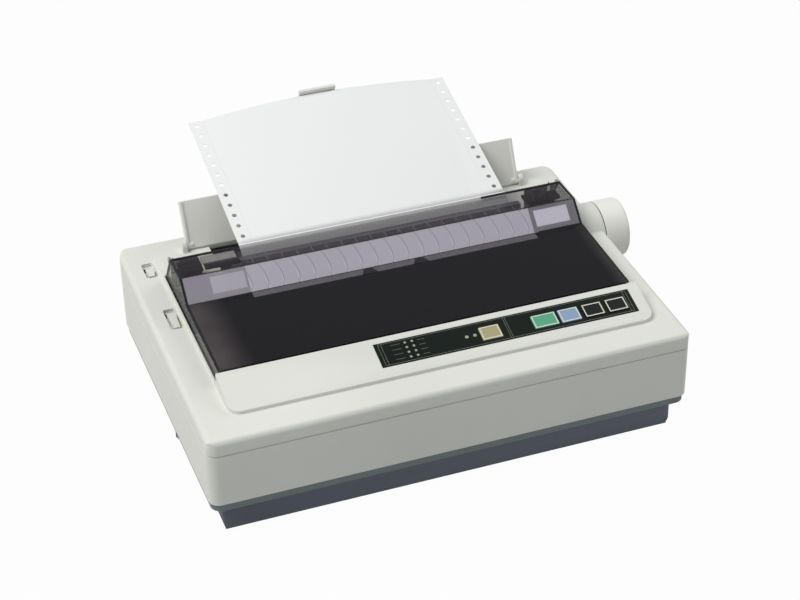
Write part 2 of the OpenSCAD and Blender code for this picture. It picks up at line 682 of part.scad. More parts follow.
// rest that carries the middle of the page on its two rails, with a stop at its end
module support_arm() in_case() color(beige) {
    translate([0, arm_y, arm_z]) rotate([arm_deg, 0, 0]) {
        box(paper_x - arm_hw, paper_x + arm_hw, 0, arm_l, -1.2, 1.2);
        for (x = [paper_x - arm_hw, paper_x + arm_hw - 2]) side_view(x, x + 2)
            polygon([[0, 0], [0, -1.2], [8, -3.5], [arm_l - 2, -3.5], [arm_l, 0], [arm_l, 7.6],
                [arm_l - 12, 7.6], [8, 3]]);
        for (y = [0.3, 0.55, 0.8]) box(paper_x - arm_hw, paper_x + arm_hw, y * arm_l, y * arm_l + 1.6, 0, 3);
        box(paper_x - arm_hw, paper_x + arm_hw, arm_l - 2.4, arm_l, 0, tab_h);
    }
    x_rod(arm_y, arm_z, 3, paper_x - arm_hw, paper_x + arm_hw);
    x_rod(arm_y, arm_z, 1.8, paper_x - arm_hw - 4, paper_x + arm_hw + 4);
}

// ================= paper =================
paper_path = concat(
    [enter_p + tail_len * [cos(tail_deg), sin(tail_deg)]],
    [for (a = [enter_a : -6 : leave_a - 360]) [platen_y + wrap_r * cos(a), platen_z + wrap_r * sin(a)]],
    [leave_p],
    [for (i = [0 : 4]) let (a = 90 + rise_deg - i * (rise_deg - exit_deg) / 4)
        exit_p - bend_cut * [cos(rise_deg), sin(rise_deg)]
        + bend_r * [cos(a) - cos(90 + rise_deg), sin(a) - sin(90 + rise_deg)]]);
up = paper_t / 2 * [-sin(exit_deg), cos(exit_deg)];

// middle of the page, straight where it leaves the cover and bowed where it lies on the rest
module bowed_sheet() {
    hw = paper_w / 2 - margin_w;
    n = 14;
    function rise(i) = paper_bow * (1 - pow(2 * i / n - 1, 2));
    function row(p, r, s) = [for (i = [0 : n])
        [paper_x - hw + 2 * hw * i / n, p[0] + s * up[0], p[1] + s * up[1] + r * rise(i)]];
    polyhedron(concat(row(slant_p, 0, -1), row(slant_p, 0, 1), row(paper_end, 1, -1), row(paper_end, 1, 1)), concat(
        [for (i = [0 : n - 1]) each [[i, i + 1, i + 1 + 2 * n + 2], [i, i + 1 + 2 * n + 2, i + 2 * n + 2]]],
        [for (i = [n + 1 : 2 * n]) each [[i, i + 1 + 2 * n + 2, i + 1], [i, i + 2 * n + 2, i + 1 + 2 * n + 2]]],
        [for (i = [0 : n - 1]) each [[i, i + n + 2, i + 1], [i, i + n + 1, i + n + 2]]],
        [for (i = [2 * n + 2 : 3 * n + 1]) each [[i, i + 1, i + n + 2], [i, i + n + 2, i + n + 1]]],
        [[0, 2 * n + 2, 3 * n + 3], [0, 3 * n + 3, n + 1], [n, 2 * n + 1, 4 * n + 3], [n, 4 * n + 3, 3 * n + 2]]));
}

module fanfold_paper() in_case() color("white") difference() {
    union() {
        side_view(paper_x - paper_w / 2, paper_x + paper_w / 2) strip(paper_path, paper_t);
        bowed_sheet();
        for (x = [paper_x - paper_w / 2, paper_x + paper_w / 2 - margin_w]) side_view(x, x + margin_w)
            polygon([slant_p + up, slant_p - up, paper_end - up, paper_end + up]);
    }
    n = floor((slant_len - 6) / hole_pitch);
    for (i = [0 : n], s = [-1, 1])
        translate([paper_x + s * (paper_w / 2 - margin_w / 2), paper_end[0], paper_end[1]])
            rotate([exit_deg, 0, 0]) translate([0, -hole_pitch / 2 - i * hole_pitch, -3]) cylinder(r = 2, h = 6);
}

// ================= frames =================
frame_high = platen_z + 19.5;
frame_outline = [[frame_y0, frame_z0], [frame_y1, frame_z0], [frame_y1, tractor_z + 15],
    [platen_y + 18, tractor_z + 15], [platen_y + 12, frame_high], [platen_y - 27, frame_high],
    [platen_y - 32, frame_top], [frame_y0, frame_top]];
guard_z = platen_z + 26.5;
guard_y0 = platen_y - 25;
guard_y1 = platen_y + 6;
peg_z = frame_top - 2;
peg_y = [cas_y0 + 20, cas_y0 + 78];

module frame_plate(x0) side_view(x0, x0 + frame_t) difference() {
    union() {
        polygon(frame_outline);
        translate([guard_y0, frame_high - 1]) square([guard_y1 - guard_y0, guard_z - frame_high]);
    }
    translate([platen_y, platen_z]) circle(shaft_r + run_fit);
    translate([rail_y, rail_z]) circle(rail_r + 0.02);
    translate([tractor_y, tractor_z]) circle(shaft_r + run_fit);
    translate([tractor_y, rod_z]) circle(rod_r + 0.02);
    translate([bail_y, bail_z]) circle(3 + run_fit);
    translate([motor_y, motor_z]) circle(6);
    translate([bail_y + 10, (frame_z0 + bail_z) / 2]) circle(11);
    translate([rail_y - 13, (frame_z0 + rail_z) / 2]) circle(9);
    for (y = peg_y) translate([y - 2.1, peg_z - 2.1]) square([4.2, 30]);
}
// bent flanges: a foot along the floor plate and a guard over the roller's end
module frame_foot(x0, x1) box(x0, x1, frame_y0 + 22, frame_y1 - 4, frame_z0, frame_z0 + plate_t);
module frame_guard(x0, x1) box(x0, x1, guard_y0, guard_y1, guard_z - 1.5, guard_z);

module left_side_frame() in_case() color(steel) difference() {
    union() {
        frame_plate(frame_l);
        frame_foot(frame_l - 10, frame_l);
        frame_guard(cover_l + cover_t + 2, platen_x0 - 2);
    }
    x_rod(release_y, release_z, 3 + run_fit, frame_l - 1, frame_l + 5);
}

module right_side_frame() in_case() color(steel) {
    frame_plate(frame_r);
    frame_foot(frame_r + frame_t, frame_r + frame_t + 10);
    frame_guard(platen_x1 - 2, cover_r - cover_t - 2);
    // stud of the idler gear
    x_rod(idler_y, idler_z, 3, frame_r + frame_t, gear_x + gear_t + 3);
}

module chassis_plate() in_case() color(steel) {
    difference() {
        box(frame_l - 14, frame_r + 16, wedge_y0 - 3, frame_y1 + 2, plate_z, plate_z + plate_t);
        for (x = [-60, 0, 60], y = [frame_y0 - 28, tractor_y - 11]) z_rod(paper_x + x, y, 9, 0, frame_z0 + 5);
    }
    for (x = [frame_l + 8, frame_l + 98, frame_r - 108, frame_r - 8], y = [wedge_y0 + 5, frame_y1 - 6])
        z_rod(x, y, 5, floor_z, plate_z);
    z_rod(belt_x1, belt_y, 3, frame_z0, belt_z + belt_w + 4);
    z_rod(belt_x1, belt_y, 8, frame_z0, belt_z - 3);
}

module carriage_shaft() in_case() color(steel) x_rod(rail_y, rail_z, rail_r, frame_l - 3, frame_r + frame_t + 1.5);

module front_rail() in_case() color(steel) side_view(frame_l + frame_t, frame_r)
    polygon([[rail_y - 36, rail_z - 26], [rail_y - 34, rail_z - 26], [rail_y - 34, rail_z - 15],
        [rail_y - 27, rail_z - 15], [rail_y - 27, rail_z - 13], [rail_y - 36, rail_z - 13]]);

function pan_arc(a0, a1) = [for (a = [a0 : -6 : a1]) [platen_y, platen_z] + (platen_r + 4) * [cos(a), sin(a)]];
module paper_pan() in_case() color(black) {
    side_view(cas_l + 1, cas_r - 1) strip(pan_arc(-56, -146), 1.5);
    side_view(paper_x - paper_w / 2 - 2, paper_x + paper_w / 2 + 2)
        strip(concat([[tractor_y - 17, platen_z - 3]], pan_arc(-56, -80)), 1.5);
    side_view(frame_l + frame_t, frame_r) strip(pan_arc(-68, -92), 1.5);
}

module feed_motor() in_case() color(steel) {
    x_rod(motor_y, motor_z, motor_r, frame_r - 16.5, frame_r);
    x_rod(motor_y, motor_z, 5.95, frame_r, frame_r + 2.4);
}

module carriage_motor() in_case() color(steel) {
    z_rod(belt_x0, belt_y, 16, frame_z0, belt_z - 8);
    z_rod(belt_x0, belt_y, 7, belt_z - 8, belt_z - 4);
}

module timing_belt() in_case() color(black) translate([0, 0, belt_z]) linear_extrude(belt_w) difference() {
    belt_loop(pulley_r + 0.3 + belt_t);
    belt_loop(pulley_r + 0.3);
}
module belt_loop(r) {
    for (x = [belt_x0, belt_x1]) translate([x, belt_y]) circle(r);
    translate([belt_x0, belt_y - r]) square([belt_x1 - belt_x0, 2 * r]);
}

module pulley(x, bore_r) difference() {
    union() {
        z_rod(x, belt_y, pulley_r, belt_z - 1, belt_z + belt_w + 1);
        z_rod(x, belt_y, pulley_r + 2.5, belt_z + belt_w + 0.3, belt_z + belt_w + 1.5);
        z_rod(x, belt_y, pulley_r + 2.5, belt_z - 1.5, belt_z - 0.3);
    }
    z_rod(x, belt_y, bore_r, belt_z - 3, belt_z + belt_w + 3);
}
module motor_pulley() in_case() color(steel) {
    pulley(belt_x0, 2);
    z_rod(belt_x0, belt_y, 2, belt_z - 3.7, belt_z + belt_w + 4);
}
module belt_pulley() in_case() color(black) pulley(belt_x1, 3 + run_fit);

// ================= ribbon =================
module ribbon_cassette() in_case() color(black) difference() {
    union() {
        translate([0, 0, cas_z0]) linear_extrude(cas_z1 - cas_z0) round_rect(cas_l, cas_y0, cas_r, rail_y - 38, 6);
        for (x = [cas_l, cas_r - 11]) side_view(x, x + 11) polygon([[rail_y - 40, cas_z0 - 2], [platen_y - 27, cas_z0 - 2],
            [platen_y - 19, cas_z0], [platen_y - 19, cas_z0 + 9], [platen_y - 27, cas_z0 + 12], [rail_y - 40, cas_z0 + 12]]);
        for (y = peg_y) {
            x_rod(y, peg_z, 2, frame_l - 1, cas_l + 3);
            x_rod(y, peg_z, 2, cas_r - 3, frame_r + frame_t + 1);
        }
    }
    for (x = [cas_l - 1, cas_r - 9])
        box(x, x + 10, ribbon_y - ribbon_t - 0.4, platen_y - 14, ribbon_z0 - 0.4, ribbon_z0 + ribbon_h + 0.4);
    z_rod(spool_x, spool_y, 3 + run_fit, cas_z0 + 4, cas_z1 + 20);
}
module ribbon_band() in_case() color([0.05, 0.05, 0.06])
    box(cas_l + 9.4, cas_r - 9.4, ribbon_y - ribbon_t, ribbon_y, ribbon_z0, ribbon_z0 + ribbon_h);
module ribbon_knob() in_case() color(black) {
    z_rod(spool_x, spool_y, 9, cas_z1 + 0.4, cas_z1 + 5);
    z_rod(spool_x, spool_y, 3, cas_z0 + 6, cas_z1 + 1);
    box(spool_x - 7, spool_x + 7, spool_y - 1, spool_y + 1, cas_z1 + 4.5, cas_z1 + 7);
}

// ================= electronics =================
board_x0 = frame_l + 78;
board_x1 = belt_x1 - 12;
board_y0 = wedge_y0 + 7;
board_y1 = platen_y + 16;
module main_board() in_case() color([0.12, 0.38, 0.22]) {
    box(board_x0, board_x1, board_y0, board_y1, board_z, board_z + 1.6);
    for (x = [board_x0 + 6, board_x1 - 6], y = [board_y0 + 6, board_y1 - 6]) z_rod(x, y, 3, frame_z0, board_z);
    for (i = [0 : 3], y = [board_y0 + 40, board_y0 + 90])
        box(board_x0 + 21 + 42 * i, board_x0 + 39 + 42 * i, y - 20, y + 20, board_z + 1.6, board_z + 5);
    for (x = [board_x0 + 20, board_x0 + 40, board_x1 - 14], y = [board_y1 - 30, board_y1 - 15])
        z_rod(x, y, 5, board_z + 1.6, board_z + 16);
}
module transformer() in_case() color([0.35, 0.33, 0.3]) {
    top = rod_z - rod_r - 8;
    box(frame_l + 8, frame_l + 56, platen_y + 22, tractor_y + 10, frame_z0, top);
    box(frame_l + 14, frame_l + 50, platen_y + 16, tractor_y + 16, frame_z0 + 5, top - 6);
}
module power_inlet() in_case() color(black) difference() {
    union() {
        box(inlet_x - 13.4, inlet_x + 13.4, half_d - 20, half_d - 0.2, inlet_z - 9.8, inlet_z + 9.8);
        box(inlet_x - 16, inlet_x + 16, half_d, half_d + 1.5, inlet_z - 12, inlet_z + 12);
        box(inlet_x - 13.4, inlet_x + 13.4, half_d - 1, half_d + 1, inlet_z - 9.8, inlet_z + 9.8);
    }
    box(inlet_x - 11, inlet_x + 11, half_d - 15, half_d + 5, inlet_z - 7, inlet_z + 7);
}
module parallel_connector() in_case() color(steel) difference() {
    union() {
        box(port_x - 30.8, port_x + 30.8, half_d - 14, half_d - 0.2, port_z - 6.8, port_z + 6.8);
        box(port_x - 36, port_x + 36, half_d - 14, half_d - wall, port_z - 8, port_z + 8);
        box(port_x - 29, port_x + 29, half_d - 1, half_d + 3, port_z - 6, port_z + 6);
    }
    box(port_x - 27.5, port_x + 27.5, half_d - 7, half_d + 5, port_z - 4.5, port_z + 4.5);
}
module switch_housing() in_case() color(black) difference() {
    union() {
        box(-plinth_hw - 1, -plinth_hw + 20, switch_y - 11.2, switch_y + 11.2, switch_z - 7, switch_z + 7);
        box(-plinth_hw - 1.2, -plinth_hw, switch_y - 12.4, switch_y + 12.4, switch_z - 8.2, switch_z + 8.2);
    }
    box(-plinth_hw - 5, -plinth_hw + 9, switch_y - 10, switch_y + 10, switch_z - 5.8, switch_z + 5.8);
    z_rod(-plinth_hw + 2, switch_y, 1.5 + run_fit, switch_z - 6.7, switch_z + 6.7);
}
module power_rocker() in_case() color([0.25, 0.35, 0.55]) translate([-plinth_hw + 2, switch_y, 0]) {
    rotate([0, 0, 6]) translate([0, 0, switch_z - 5.3]) linear_extrude(10.6)
        polygon([[-4, -9.2], [-7, 0], [-4, 9.2], [4, 7], [4, -7]]);
    z_rod(0, 0, 1.5, switch_z - 6.5, switch_z + 6.5);
}

// ================= platen =================
module platen_roller() in_case() color(black) difference() {
    x_rod(platen_y, platen_z, platen_r, platen_x0, platen_x1);
    x_rod(platen_y, platen_z, shaft_r, platen_x0 - 1, platen_x1 + 1);
}
module platen_shaft() in_case() color(steel) x_rod(platen_y, platen_z, shaft_r, frame_l - 4, knob_x1 - 4);
module platen_gear() in_case() color("white") spur(platen_y, platen_z, platen_teeth, train_deg, shaft_r, 8);
module platen_knob() in_case() color(beige) difference() {
    translate([knob_x0, platen_y, platen_z]) rotate([0, 90, 0]) rotate_extrude()
        polygon([[0, 0], [knob_r, 0], [knob_r, knob_l - 3], [knob_r - 0.9, knob_l - 0.9],
            [knob_r - 3, knob_l], [0, knob_l]]);
    x_rod(platen_y, platen_z, shaft_r, knob_x0 - 1, knob_x1 - 4);
}
module idler_gear() in_case() color("white") spur(idler_y, idler_z, idler_teeth, idler_phase, 3 + run_fit, 0);
module motor_pinion() in_case() color("white") {
    spur(motor_y, motor_z, pinion_teeth, pinion_phase, 1.5, 0);
    x_rod(motor_y, motor_z, 1.5, gear_x - 1.2, gear_x + gear_t + 2);
}

// ================= tractors =================
module tractor_shaft() in_case() color(steel) {
    x_rod(tractor_y, tractor_z, shaft_r, frame_l - 3, frame_l + frame_t + 4);
    box(frame_l + frame_t + 1, frame_r - 1, tractor_y - 3.5, tractor_y + 3.5, tractor_z - 3.5, tractor_z + 3.5);
    x_rod(tractor_y, tractor_z, shaft_r, frame_r - 4, gear_x + gear_t + 4);
}
module tractor_gear() in_case() color("white") spur(tractor_y, tractor_z, tractor_teeth, tractor_phase, shaft_r, 8);
module tractor_guide_rod() in_case() color(steel) x_rod(tractor_y, rod_z, rod_r, frame_l - 2, frame_r + frame_t + 1);

hole_x = paper_w / 2 - margin_w / 2;
tr_half = 8;
lug_y = [tractor_y - 12, tractor_y + 3];
module tractor_body(x, s) difference() {
    union() {
        side_view(x - tr_half, x + tr_half) polygon([[tractor_y - 16, rod_z + 6], [tractor_y - 9, rod_z - 6],
            [tractor_y + 9, rod_z - 6], [tractor_y + 16, rod_z + 6], [tractor_y + 16, tractor_z + wheel_r - 0.3],
            [tractor_y - 16, tractor_z + wheel_r - 0.3]]);
        // hinge lugs of the door
        for (y = lug_y)
            front_view(y, y + 4) translate([x + s * (tr_half + 2), tractor_z + wheel_r + 1.6]) circle(2.6);
        for (y = lug_y)
            box(min(x + s * (tr_half - 1), x + s * (tr_half + 3)), max(x + s * (tr_half - 1), x + s * (tr_half + 3)),
                y, y + 4, tractor_z + wheel_r - 6, tractor_z + wheel_r + 1);
    }
    box(x - 4, x + 4, tractor_y - 30, tractor_y + 30, tractor_z - wheel_r - pin_l - 0.6, tractor_z + 40);
    x_rod(tractor_y, tractor_z, 7 + run_fit, x - 20, x + 20);
    x_rod(tractor_y, rod_z, rod_r + run_fit, x - 20, x + 20);
    for (y = lug_y) translate([x + s * (tr_half + 2), y - 1, tractor_z + wheel_r + 1.6])
        rotate([-90, 0, 0]) cylinder(r = 1.2 + run_fit, h = 6);
}
module pin_wheel(x) {
    difference() {
        union() {
            x_rod(tractor_y, tractor_z, wheel_r, x - 3, x + 3);
            x_rod(tractor_y, tractor_z, 7, x - tr_half + 0.5, x + tr_half - 0.5);
            for (a = [90 : 60 : 390]) translate([x, tractor_y, tractor_z]) rotate([a - 90, 0, 0])
                translate([0, 0, wheel_r - 2]) cylinder(r1 = 1.7, r2 = 1.1, h = 2 + pin_l);
        }
        box(x - 20, x + 20, tractor_y - 3.55, tractor_y + 3.55, tractor_z - 3.55, tractor_z + 3.55);
    }
}
module tractor_door(x, s) {
    zc = tractor_z + wheel_r + 1.6;
    difference() {
        union() {
            box(x - tr_half + 0.8, x + tr_half - 0.8, tractor_y - 14, tractor_y + 8, zc - 0.6, zc + 1.2);
            box(min(x + s * (tr_half - 1), x + s * (tr_half + 2)), max(x + s * (tr_half - 1), x + s * (tr_half + 2)),
                tractor_y - 7.6, tractor_y + 2.6, zc - 1, zc + 1.2);
        }
        box(x - 2.6, x + 2.6, tractor_y - 9, tractor_y + 20, zc - 5, zc + 5);
    }
    translate([x + s * (tr_half + 2), tractor_y - 12, zc]) rotate([-90, 0, 0]) cylinder(r = 1.2, h = 19);
}
module left_tractor() in_case() color(slate) tractor_body(paper_x - hole_x, -1);
module right_tractor() in_case() color(slate) tractor_body(paper_x + hole_x, 1);
module left_pin_wheel() in_case() color(black) pin_wheel(paper_x - hole_x);
module right_pin_wheel() in_case() color(black) pin_wheel(paper_x + hole_x);
module left_tractor_door() in_case() color(slate) tractor_door(paper_x - hole_x, -1);
module right_tractor_door() in_case() color(slate) tractor_door(paper_x + hole_x, 1);

// ================= bail and levers =================
module bail_arm(x) side_view(x, x + 2) difference() {
    union() {
        translate([bail_y, bail_z]) circle(7);
        translate(bail_rod) circle(4.5);
        strip([[bail_y, bail_z], [bail_rod[0], bail_rod[1]]], 8);
    }
}
module paper_bail() in_case() color(steel) {
    bail_arm(bail_x0);
    bail_arm(bail_x1);
    x_rod(bail_rod[0], bail_rod[1], 2.5, bail_x0, bail_x1 + 2);
    x_rod(bail_y, bail_z, 3, frame_l - 30, bail_x0 + 2);
    x_rod(bail_y, bail_z, 3, bail_x1, frame_r + frame_t + 1.5);
}
module bail_rollers() in_case() color(black) for (i = [-1 : 1]) let (x = paper_x + i * (paper_w / 2 - 43)) difference() {
    x_rod(bail_rod[0], bail_rod[1], bail_roll_r, x - 9, x + 9);
    x_rod(bail_rod[0], bail_rod[1], 2.5 + run_fit, x - 10, x + 10);
}
// lever: a blade from its pivot up through the slot, and a low rounded cap along the deck
module lever_blade(y, z, c, l) {
    r = deck_z(c) - z;
    side_view(lever_x - 1.5, lever_x + 1.5) union() {
        translate([y, z]) circle(6);
        strip([[y, z], [c, z + r - 0.5]], 5);
    }
    intersection() {
        side_view(lever_x - 3.5, lever_x + 3.5) union() {
            polygon([[c - l, z + r - 1.2], [c + l, z + r - 1.2], [c + l, z + r + 1.6], [c - l + 3, z + r + 0.9], [c - l, z + r]]);
        }
        translate([0, 0, z]) linear_extrude(r + 10) polygon([[lever_x - 2.6, c - l], [lever_x + 2.6, c - l],
            [lever_x + 3.5, c + l], [lever_x - 3.5, c + l]]);
    }
}
module bail_lever() in_case() color(beige) {
    lever_blade(bail_y, bail_z, bail_cap_y, bail_cap_l);
    difference() {
        x_rod(bail_y, bail_z, 6, lever_x, frame_l - 10);
        x_rod(bail_y, bail_z, 3, frame_l - 30, 0);
    }
}
module release_lever() in_case() color(beige) {
    lever_blade(release_y, release_z, release_cap_y, release_cap_l);
    x_rod(release_y, release_z, 3, lever_x, frame_l + frame_t + 0.7);
}

// ================= carriage =================
module carriage() in_case() color(black) difference() {
    union() {
        box(head_x - carriage_w / 2, head_x + carriage_w / 2, rail_y - 10, rail_y + 11, rail_z - 9, rail_z + 10);
        box(head_x - carriage_w / 2 + 4, head_x + carriage_w / 2 - 4, belt_y + 10, rail_y - 8, rail_z - 4, rail_z + 8);
        box(head_x - 12, head_x + 12, rail_y - 40, rail_y - 25, rail_z - 12.95, rail_z - 2);
        box(head_x - 12, head_x + 12, belt_y + 3, belt_y + 12, belt_z - 3, belt_z + 10);
    }
    x_rod(rail_y, rail_z, rail_r + run_fit, head_x - 40, head_x + 40);
    box(head_x - 20, head_x + 20, belt_y - 4, belt_y + pulley_r + belt_t + 0.7, belt_z - 0.5, belt_z + belt_w + 0.5);
}
// printing head: finned body, nose and the shield that holds the ribbon off the paper
module print_head() in_case() color([0.25, 0.25, 0.27]) {
    z0 = rail_z + 10;
    box(head_x - 16, head_x + 16, rail_y - 28, rail_y + 4, z0, z0 + 5);
    box(head_x - 11, head_x + 11, rail_y - 24, rail_y + 1, z0 + 4, z0 + 29.5);
    for (i = [0 : 6]) box(head_x - 16, head_x + 16, rail_y - 28, rail_y + 4, z0 + 7 + i * 3.6, z0 + 8.4 + i * 3.6);
    side_view(head_x - 8, head_x + 8) polygon([[rail_y, z0 + 4], [platen_y - 26, z0 + 4], [print_y - 1.6, z0 + 8],
        [print_y - 1.6, z0 + 17], [platen_y - 26, z0 + 19], [rail_y, z0 + 22]]);
    box(head_x - 23, head_x + 23, print_y - 2.6, print_y - 2, z0 + 4, z0 + 20);
    box(head_x - 16, head_x + 16, rail_y + 2, print_y - 2, z0, z0 + 4.5);
}

lower_case();
rubber_feet();
mid_housing();
top_housing();
left_side_frame();
right_side_frame();
chassis_plate();
carriage_shaft();
front_rail();
paper_pan();
feed_motor();
carriage_motor();
timing_belt();
ribbon_cassette();
ribbon_band();
main_board();
transformer();
power_inlet();
parallel_connector();
switch_housing();
panel_plate();
indicator_lenses();
key_board();
tractor_guide_rod();
fanfold_paper();
smoked_cover();
tear_bar();
sheet_guide();
support_arm();
platen_roller();
platen_shaft();
platen_gear();
platen_knob();
idler_gear();
motor_pinion();
tractor_shaft();
tractor_gear();
left_tractor();
right_tractor();
left_pin_wheel();
right_pin_wheel();
left_tractor_door();
right_tractor_door();
paper_bail();
bail_rollers();
carriage();
print_head();
motor_pulley();
belt_pulley();
bail_lever();
release_lever();
page_key();
online_key();
font_key();
feed_key();
load_key();
power_rocker();
ribbon_knob();
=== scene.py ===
import itertools
import json
import math

import bmesh
import bpy
from bpy.props import FloatProperty, FloatVectorProperty, PointerProperty
from bpy.types import Operator, Panel, PropertyGroup
from mathutils import Matrix, Vector


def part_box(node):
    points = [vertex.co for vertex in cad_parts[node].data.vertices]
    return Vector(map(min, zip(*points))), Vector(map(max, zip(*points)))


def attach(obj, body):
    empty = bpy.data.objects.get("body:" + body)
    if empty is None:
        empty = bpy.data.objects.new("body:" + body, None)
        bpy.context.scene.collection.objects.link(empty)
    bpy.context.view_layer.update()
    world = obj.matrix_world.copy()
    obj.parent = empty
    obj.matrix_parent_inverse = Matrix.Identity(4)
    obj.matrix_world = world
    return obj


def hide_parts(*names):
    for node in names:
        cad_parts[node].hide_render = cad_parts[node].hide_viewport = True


bl_info = {
    "name": "Fanfold Printer Dressing",
    "version": (1, 0, 0),
    "blender": (4, 5, 0),
    "location": "View3D > Sidebar > Printer",
    "description": "Finishes and fine pieces for a dot matrix printer's fixed frame",
    "category": "Object",
}

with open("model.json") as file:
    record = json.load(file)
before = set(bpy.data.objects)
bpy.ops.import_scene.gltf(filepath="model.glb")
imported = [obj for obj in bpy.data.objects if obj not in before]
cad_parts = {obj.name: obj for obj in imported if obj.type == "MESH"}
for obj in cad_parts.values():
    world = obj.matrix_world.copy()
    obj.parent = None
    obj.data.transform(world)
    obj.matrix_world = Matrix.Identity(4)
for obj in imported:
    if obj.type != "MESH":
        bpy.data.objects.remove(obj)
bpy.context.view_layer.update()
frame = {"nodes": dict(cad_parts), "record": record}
MM = 0.001

# loose vertices this near are one, in metres
WELD = 0.000002

# faces that turn by less are one flat face, and an edge that turns by more stays sharp, in degrees
FLAT_DEG = 0.2
EDGE_DEG = 32
PAPER_EDGE_DEG = 40
KNOB_EDGE_DEG = 40


# ------------------------------------------------------------------ shader kit
class Wire:
    """An output socket that takes arithmetic and adds Math nodes for it."""

    def __init__(self, graph, socket):
        self.graph = graph
        self.socket = socket

    def _math(self, operation, *values):
        return self.graph.add("ShaderNodeMath", {"operation": operation}, list(values))

    def __add__(self, other):
        return self._math("ADD", self, other)

    __radd__ = __add__

    def __sub__(self, other):
        return self._math("SUBTRACT", self, other)

    def __rsub__(self, other):
        return self._math("SUBTRACT", other, self)

    def __mul__(self, other):
        return self._math("MULTIPLY", self, other)

    __rmul__ = __mul__

    def __truediv__(self, other):
        return self._math("DIVIDE", self, other)

    def __gt__(self, other):
        return self._math("GREATER_THAN", self, other)

    def __abs__(self):
        return self._math("ABSOLUTE", self)

    def wave(self):
        return self._math("SINE", self)

    def part(self):
        return self._math("FRACT", self)

    def past(self, edge, soft=0.3):
        """0 before an edge in millimetres and 1 after it."""
        return self.step((edge - soft) * MM, (edge + soft) * MM)

    def within(self, low, high, soft=0.3):
        return self.past(low, soft) * (1 - self.past(high, soft))

    def step(self, low, high):
        """0 below low, 1 above high and smooth between."""
        return self.graph.add(
            "ShaderNodeMapRange",
            {"interpolation_type": "SMOOTHSTEP"},
            {"Value": self, "From Min": low, "From Max": high},
        )


class Graph:
    """A node tree whose nodes all come from one method."""

    def __init__(self, tree):
        self.tree = tree

    def feed(self, socket, value):
        if isinstance(value, Wire):
            self.tree.links.new(value.socket, socket)
        elif hasattr(value, "__len__"):
            value = list(value)
            if len(value) == 3 and socket.type == "RGBA":
                value.append(1.0)
            socket.default_value = value
        else:
            socket.default_value = value

    def add(self, kind, settings=None, values=(), out=0):
        """A node of that kind with its settings, then the values or links of its sockets."""
        node = self.tree.nodes.new(kind)
        for name, value in (settings or {}).items():
            setattr(node, name, value)
        pairs = values.items() if isinstance(values, dict) else enumerate(values)
        for key, value in pairs:
            self.feed(node.inputs[key], value)
        return Wire(self, node.outputs[out])


class Finish(Graph):
    """One material, built from expressions on its wires."""

    def __init__(self, name):
        self.material = bpy.data.materials.new(name)
        self.material.use_nodes = True
        super().__init__(self.material.node_tree)
        self.shader = self.tree.nodes["Principled BSDF"]
        self.output = self.tree.nodes["Material Output"]
        self._place = None

    def place(self):
        """Object coordinates, which are metres in the shared frame."""
        if self._place is None:
            self._place = self.add("ShaderNodeTexCoord", out="Object")
        return self._place

    def axis(self, letter):
        return self.add("ShaderNodeSeparateXYZ", None, [self.place()], letter)

    def stretched(self, scale, turn=(0, 0, 0)):
        return self.add("ShaderNodeMapping", None, {"Vector": self.place(), "Rotation": turn, "Scale": scale})

    def noise(self, scale, detail=3, rough=0.5, place=None):
        return self.add(
            "ShaderNodeTexNoise",
            None,
            {"Vector": place or self.place(), "Scale": scale, "Detail": detail, "Roughness": rough},
        )

    def cells(self, scale):
        return self.add("ShaderNodeTexVoronoi", None, {"Vector": self.place(), "Scale": scale})

    def blend(self, share, a, b):
        """Colour a where share is 0 and b where it is 1."""
        return self.add("ShaderNodeMix", {"data_type": "RGBA"}, {0: share, 6: a, 7: b}, 2)

    def relief(self, height, distance, strength=1.0):
        return self.add(
            "ShaderNodeBump", None, {"Height": height, "Distance": distance, "Strength": strength}
        )

    def set(self, **sockets):
        for name, value in sockets.items():
            self.feed(self.shader.inputs[name.replace("_", " ")], value)
        return self.material


def shade(colour, k):
    return tuple(min(1.0, c * k) for c in colour)


def moulded(name, colour, grain, depth, rough, drift, coat=0.0, shine=0.5, lip=None):
    """Moulded plastic with a fine spark grain and a slow drift of colour.

    A lip is a height in metres and the paler colour that the plastic has above it.
    """
    f = Finish(name)
    slow = f.noise(6, 4)
    fine = f.noise(grain, 2)
    speck = f.cells(grain * 0.6)
    tone = f.blend(slow.step(0.35, 0.68), shade(colour, 1 - drift), shade(colour, 1 + drift * 0.5))
    tone = f.blend(fine.step(0.45, 0.8) * 0.25, tone, shade(colour, 1 - 2.2 * drift))
    if lip:
        height, pale = lip
        tone = f.blend(f.axis("Z").step(height, height + 0.3 * MM), tone, pale)
    f.set(
        Base_Color=tone,
        Roughness=rough + slow * 0.1 + fine * 0.06,
        Normal=f.relief(fine * 0.6 + speck * 0.4, depth, 0.35),
    )
    f.set(Coat_Weight=coat, Specular_IOR_Level=shine)
    return f.material


def brushed(name, colour, along="X", rough=0.32, metallic=1.0):
    """Rolled or ground metal whose marks run along one axis."""
    f = Finish(name)
    fine = {"X": (40, 1400, 1400), "Y": (1400, 40, 1400), "Z": (1400, 1400, 40)}[along]
    marks = f.noise(1.0, 3, 0.6, f.stretched(fine))
    cloud = f.noise(18, 3)
    f.set(
        Base_Color=f.blend(cloud.step(0.3, 0.75), shade(colour, 0.88), colour),
        Metallic=metallic,
        Roughness=rough + marks * 0.16 + cloud * 0.08,
        Normal=f.relief(marks, 0.00002, 0.4),
    )
    return f.material


def soft_rubber(name, colour, rough=0.72):
    f = Finish(name)
    fine = f.noise(700, 3)
    dust = f.noise(40, 4)
    f.set(
        Base_Color=f.blend(dust.step(0.5, 0.75) * 0.5, colour, shade(colour, 2.2)),
        Roughness=rough + fine * 0.15,
        Normal=f.relief(fine, 0.00008, 0.5),
    )
    return f.material


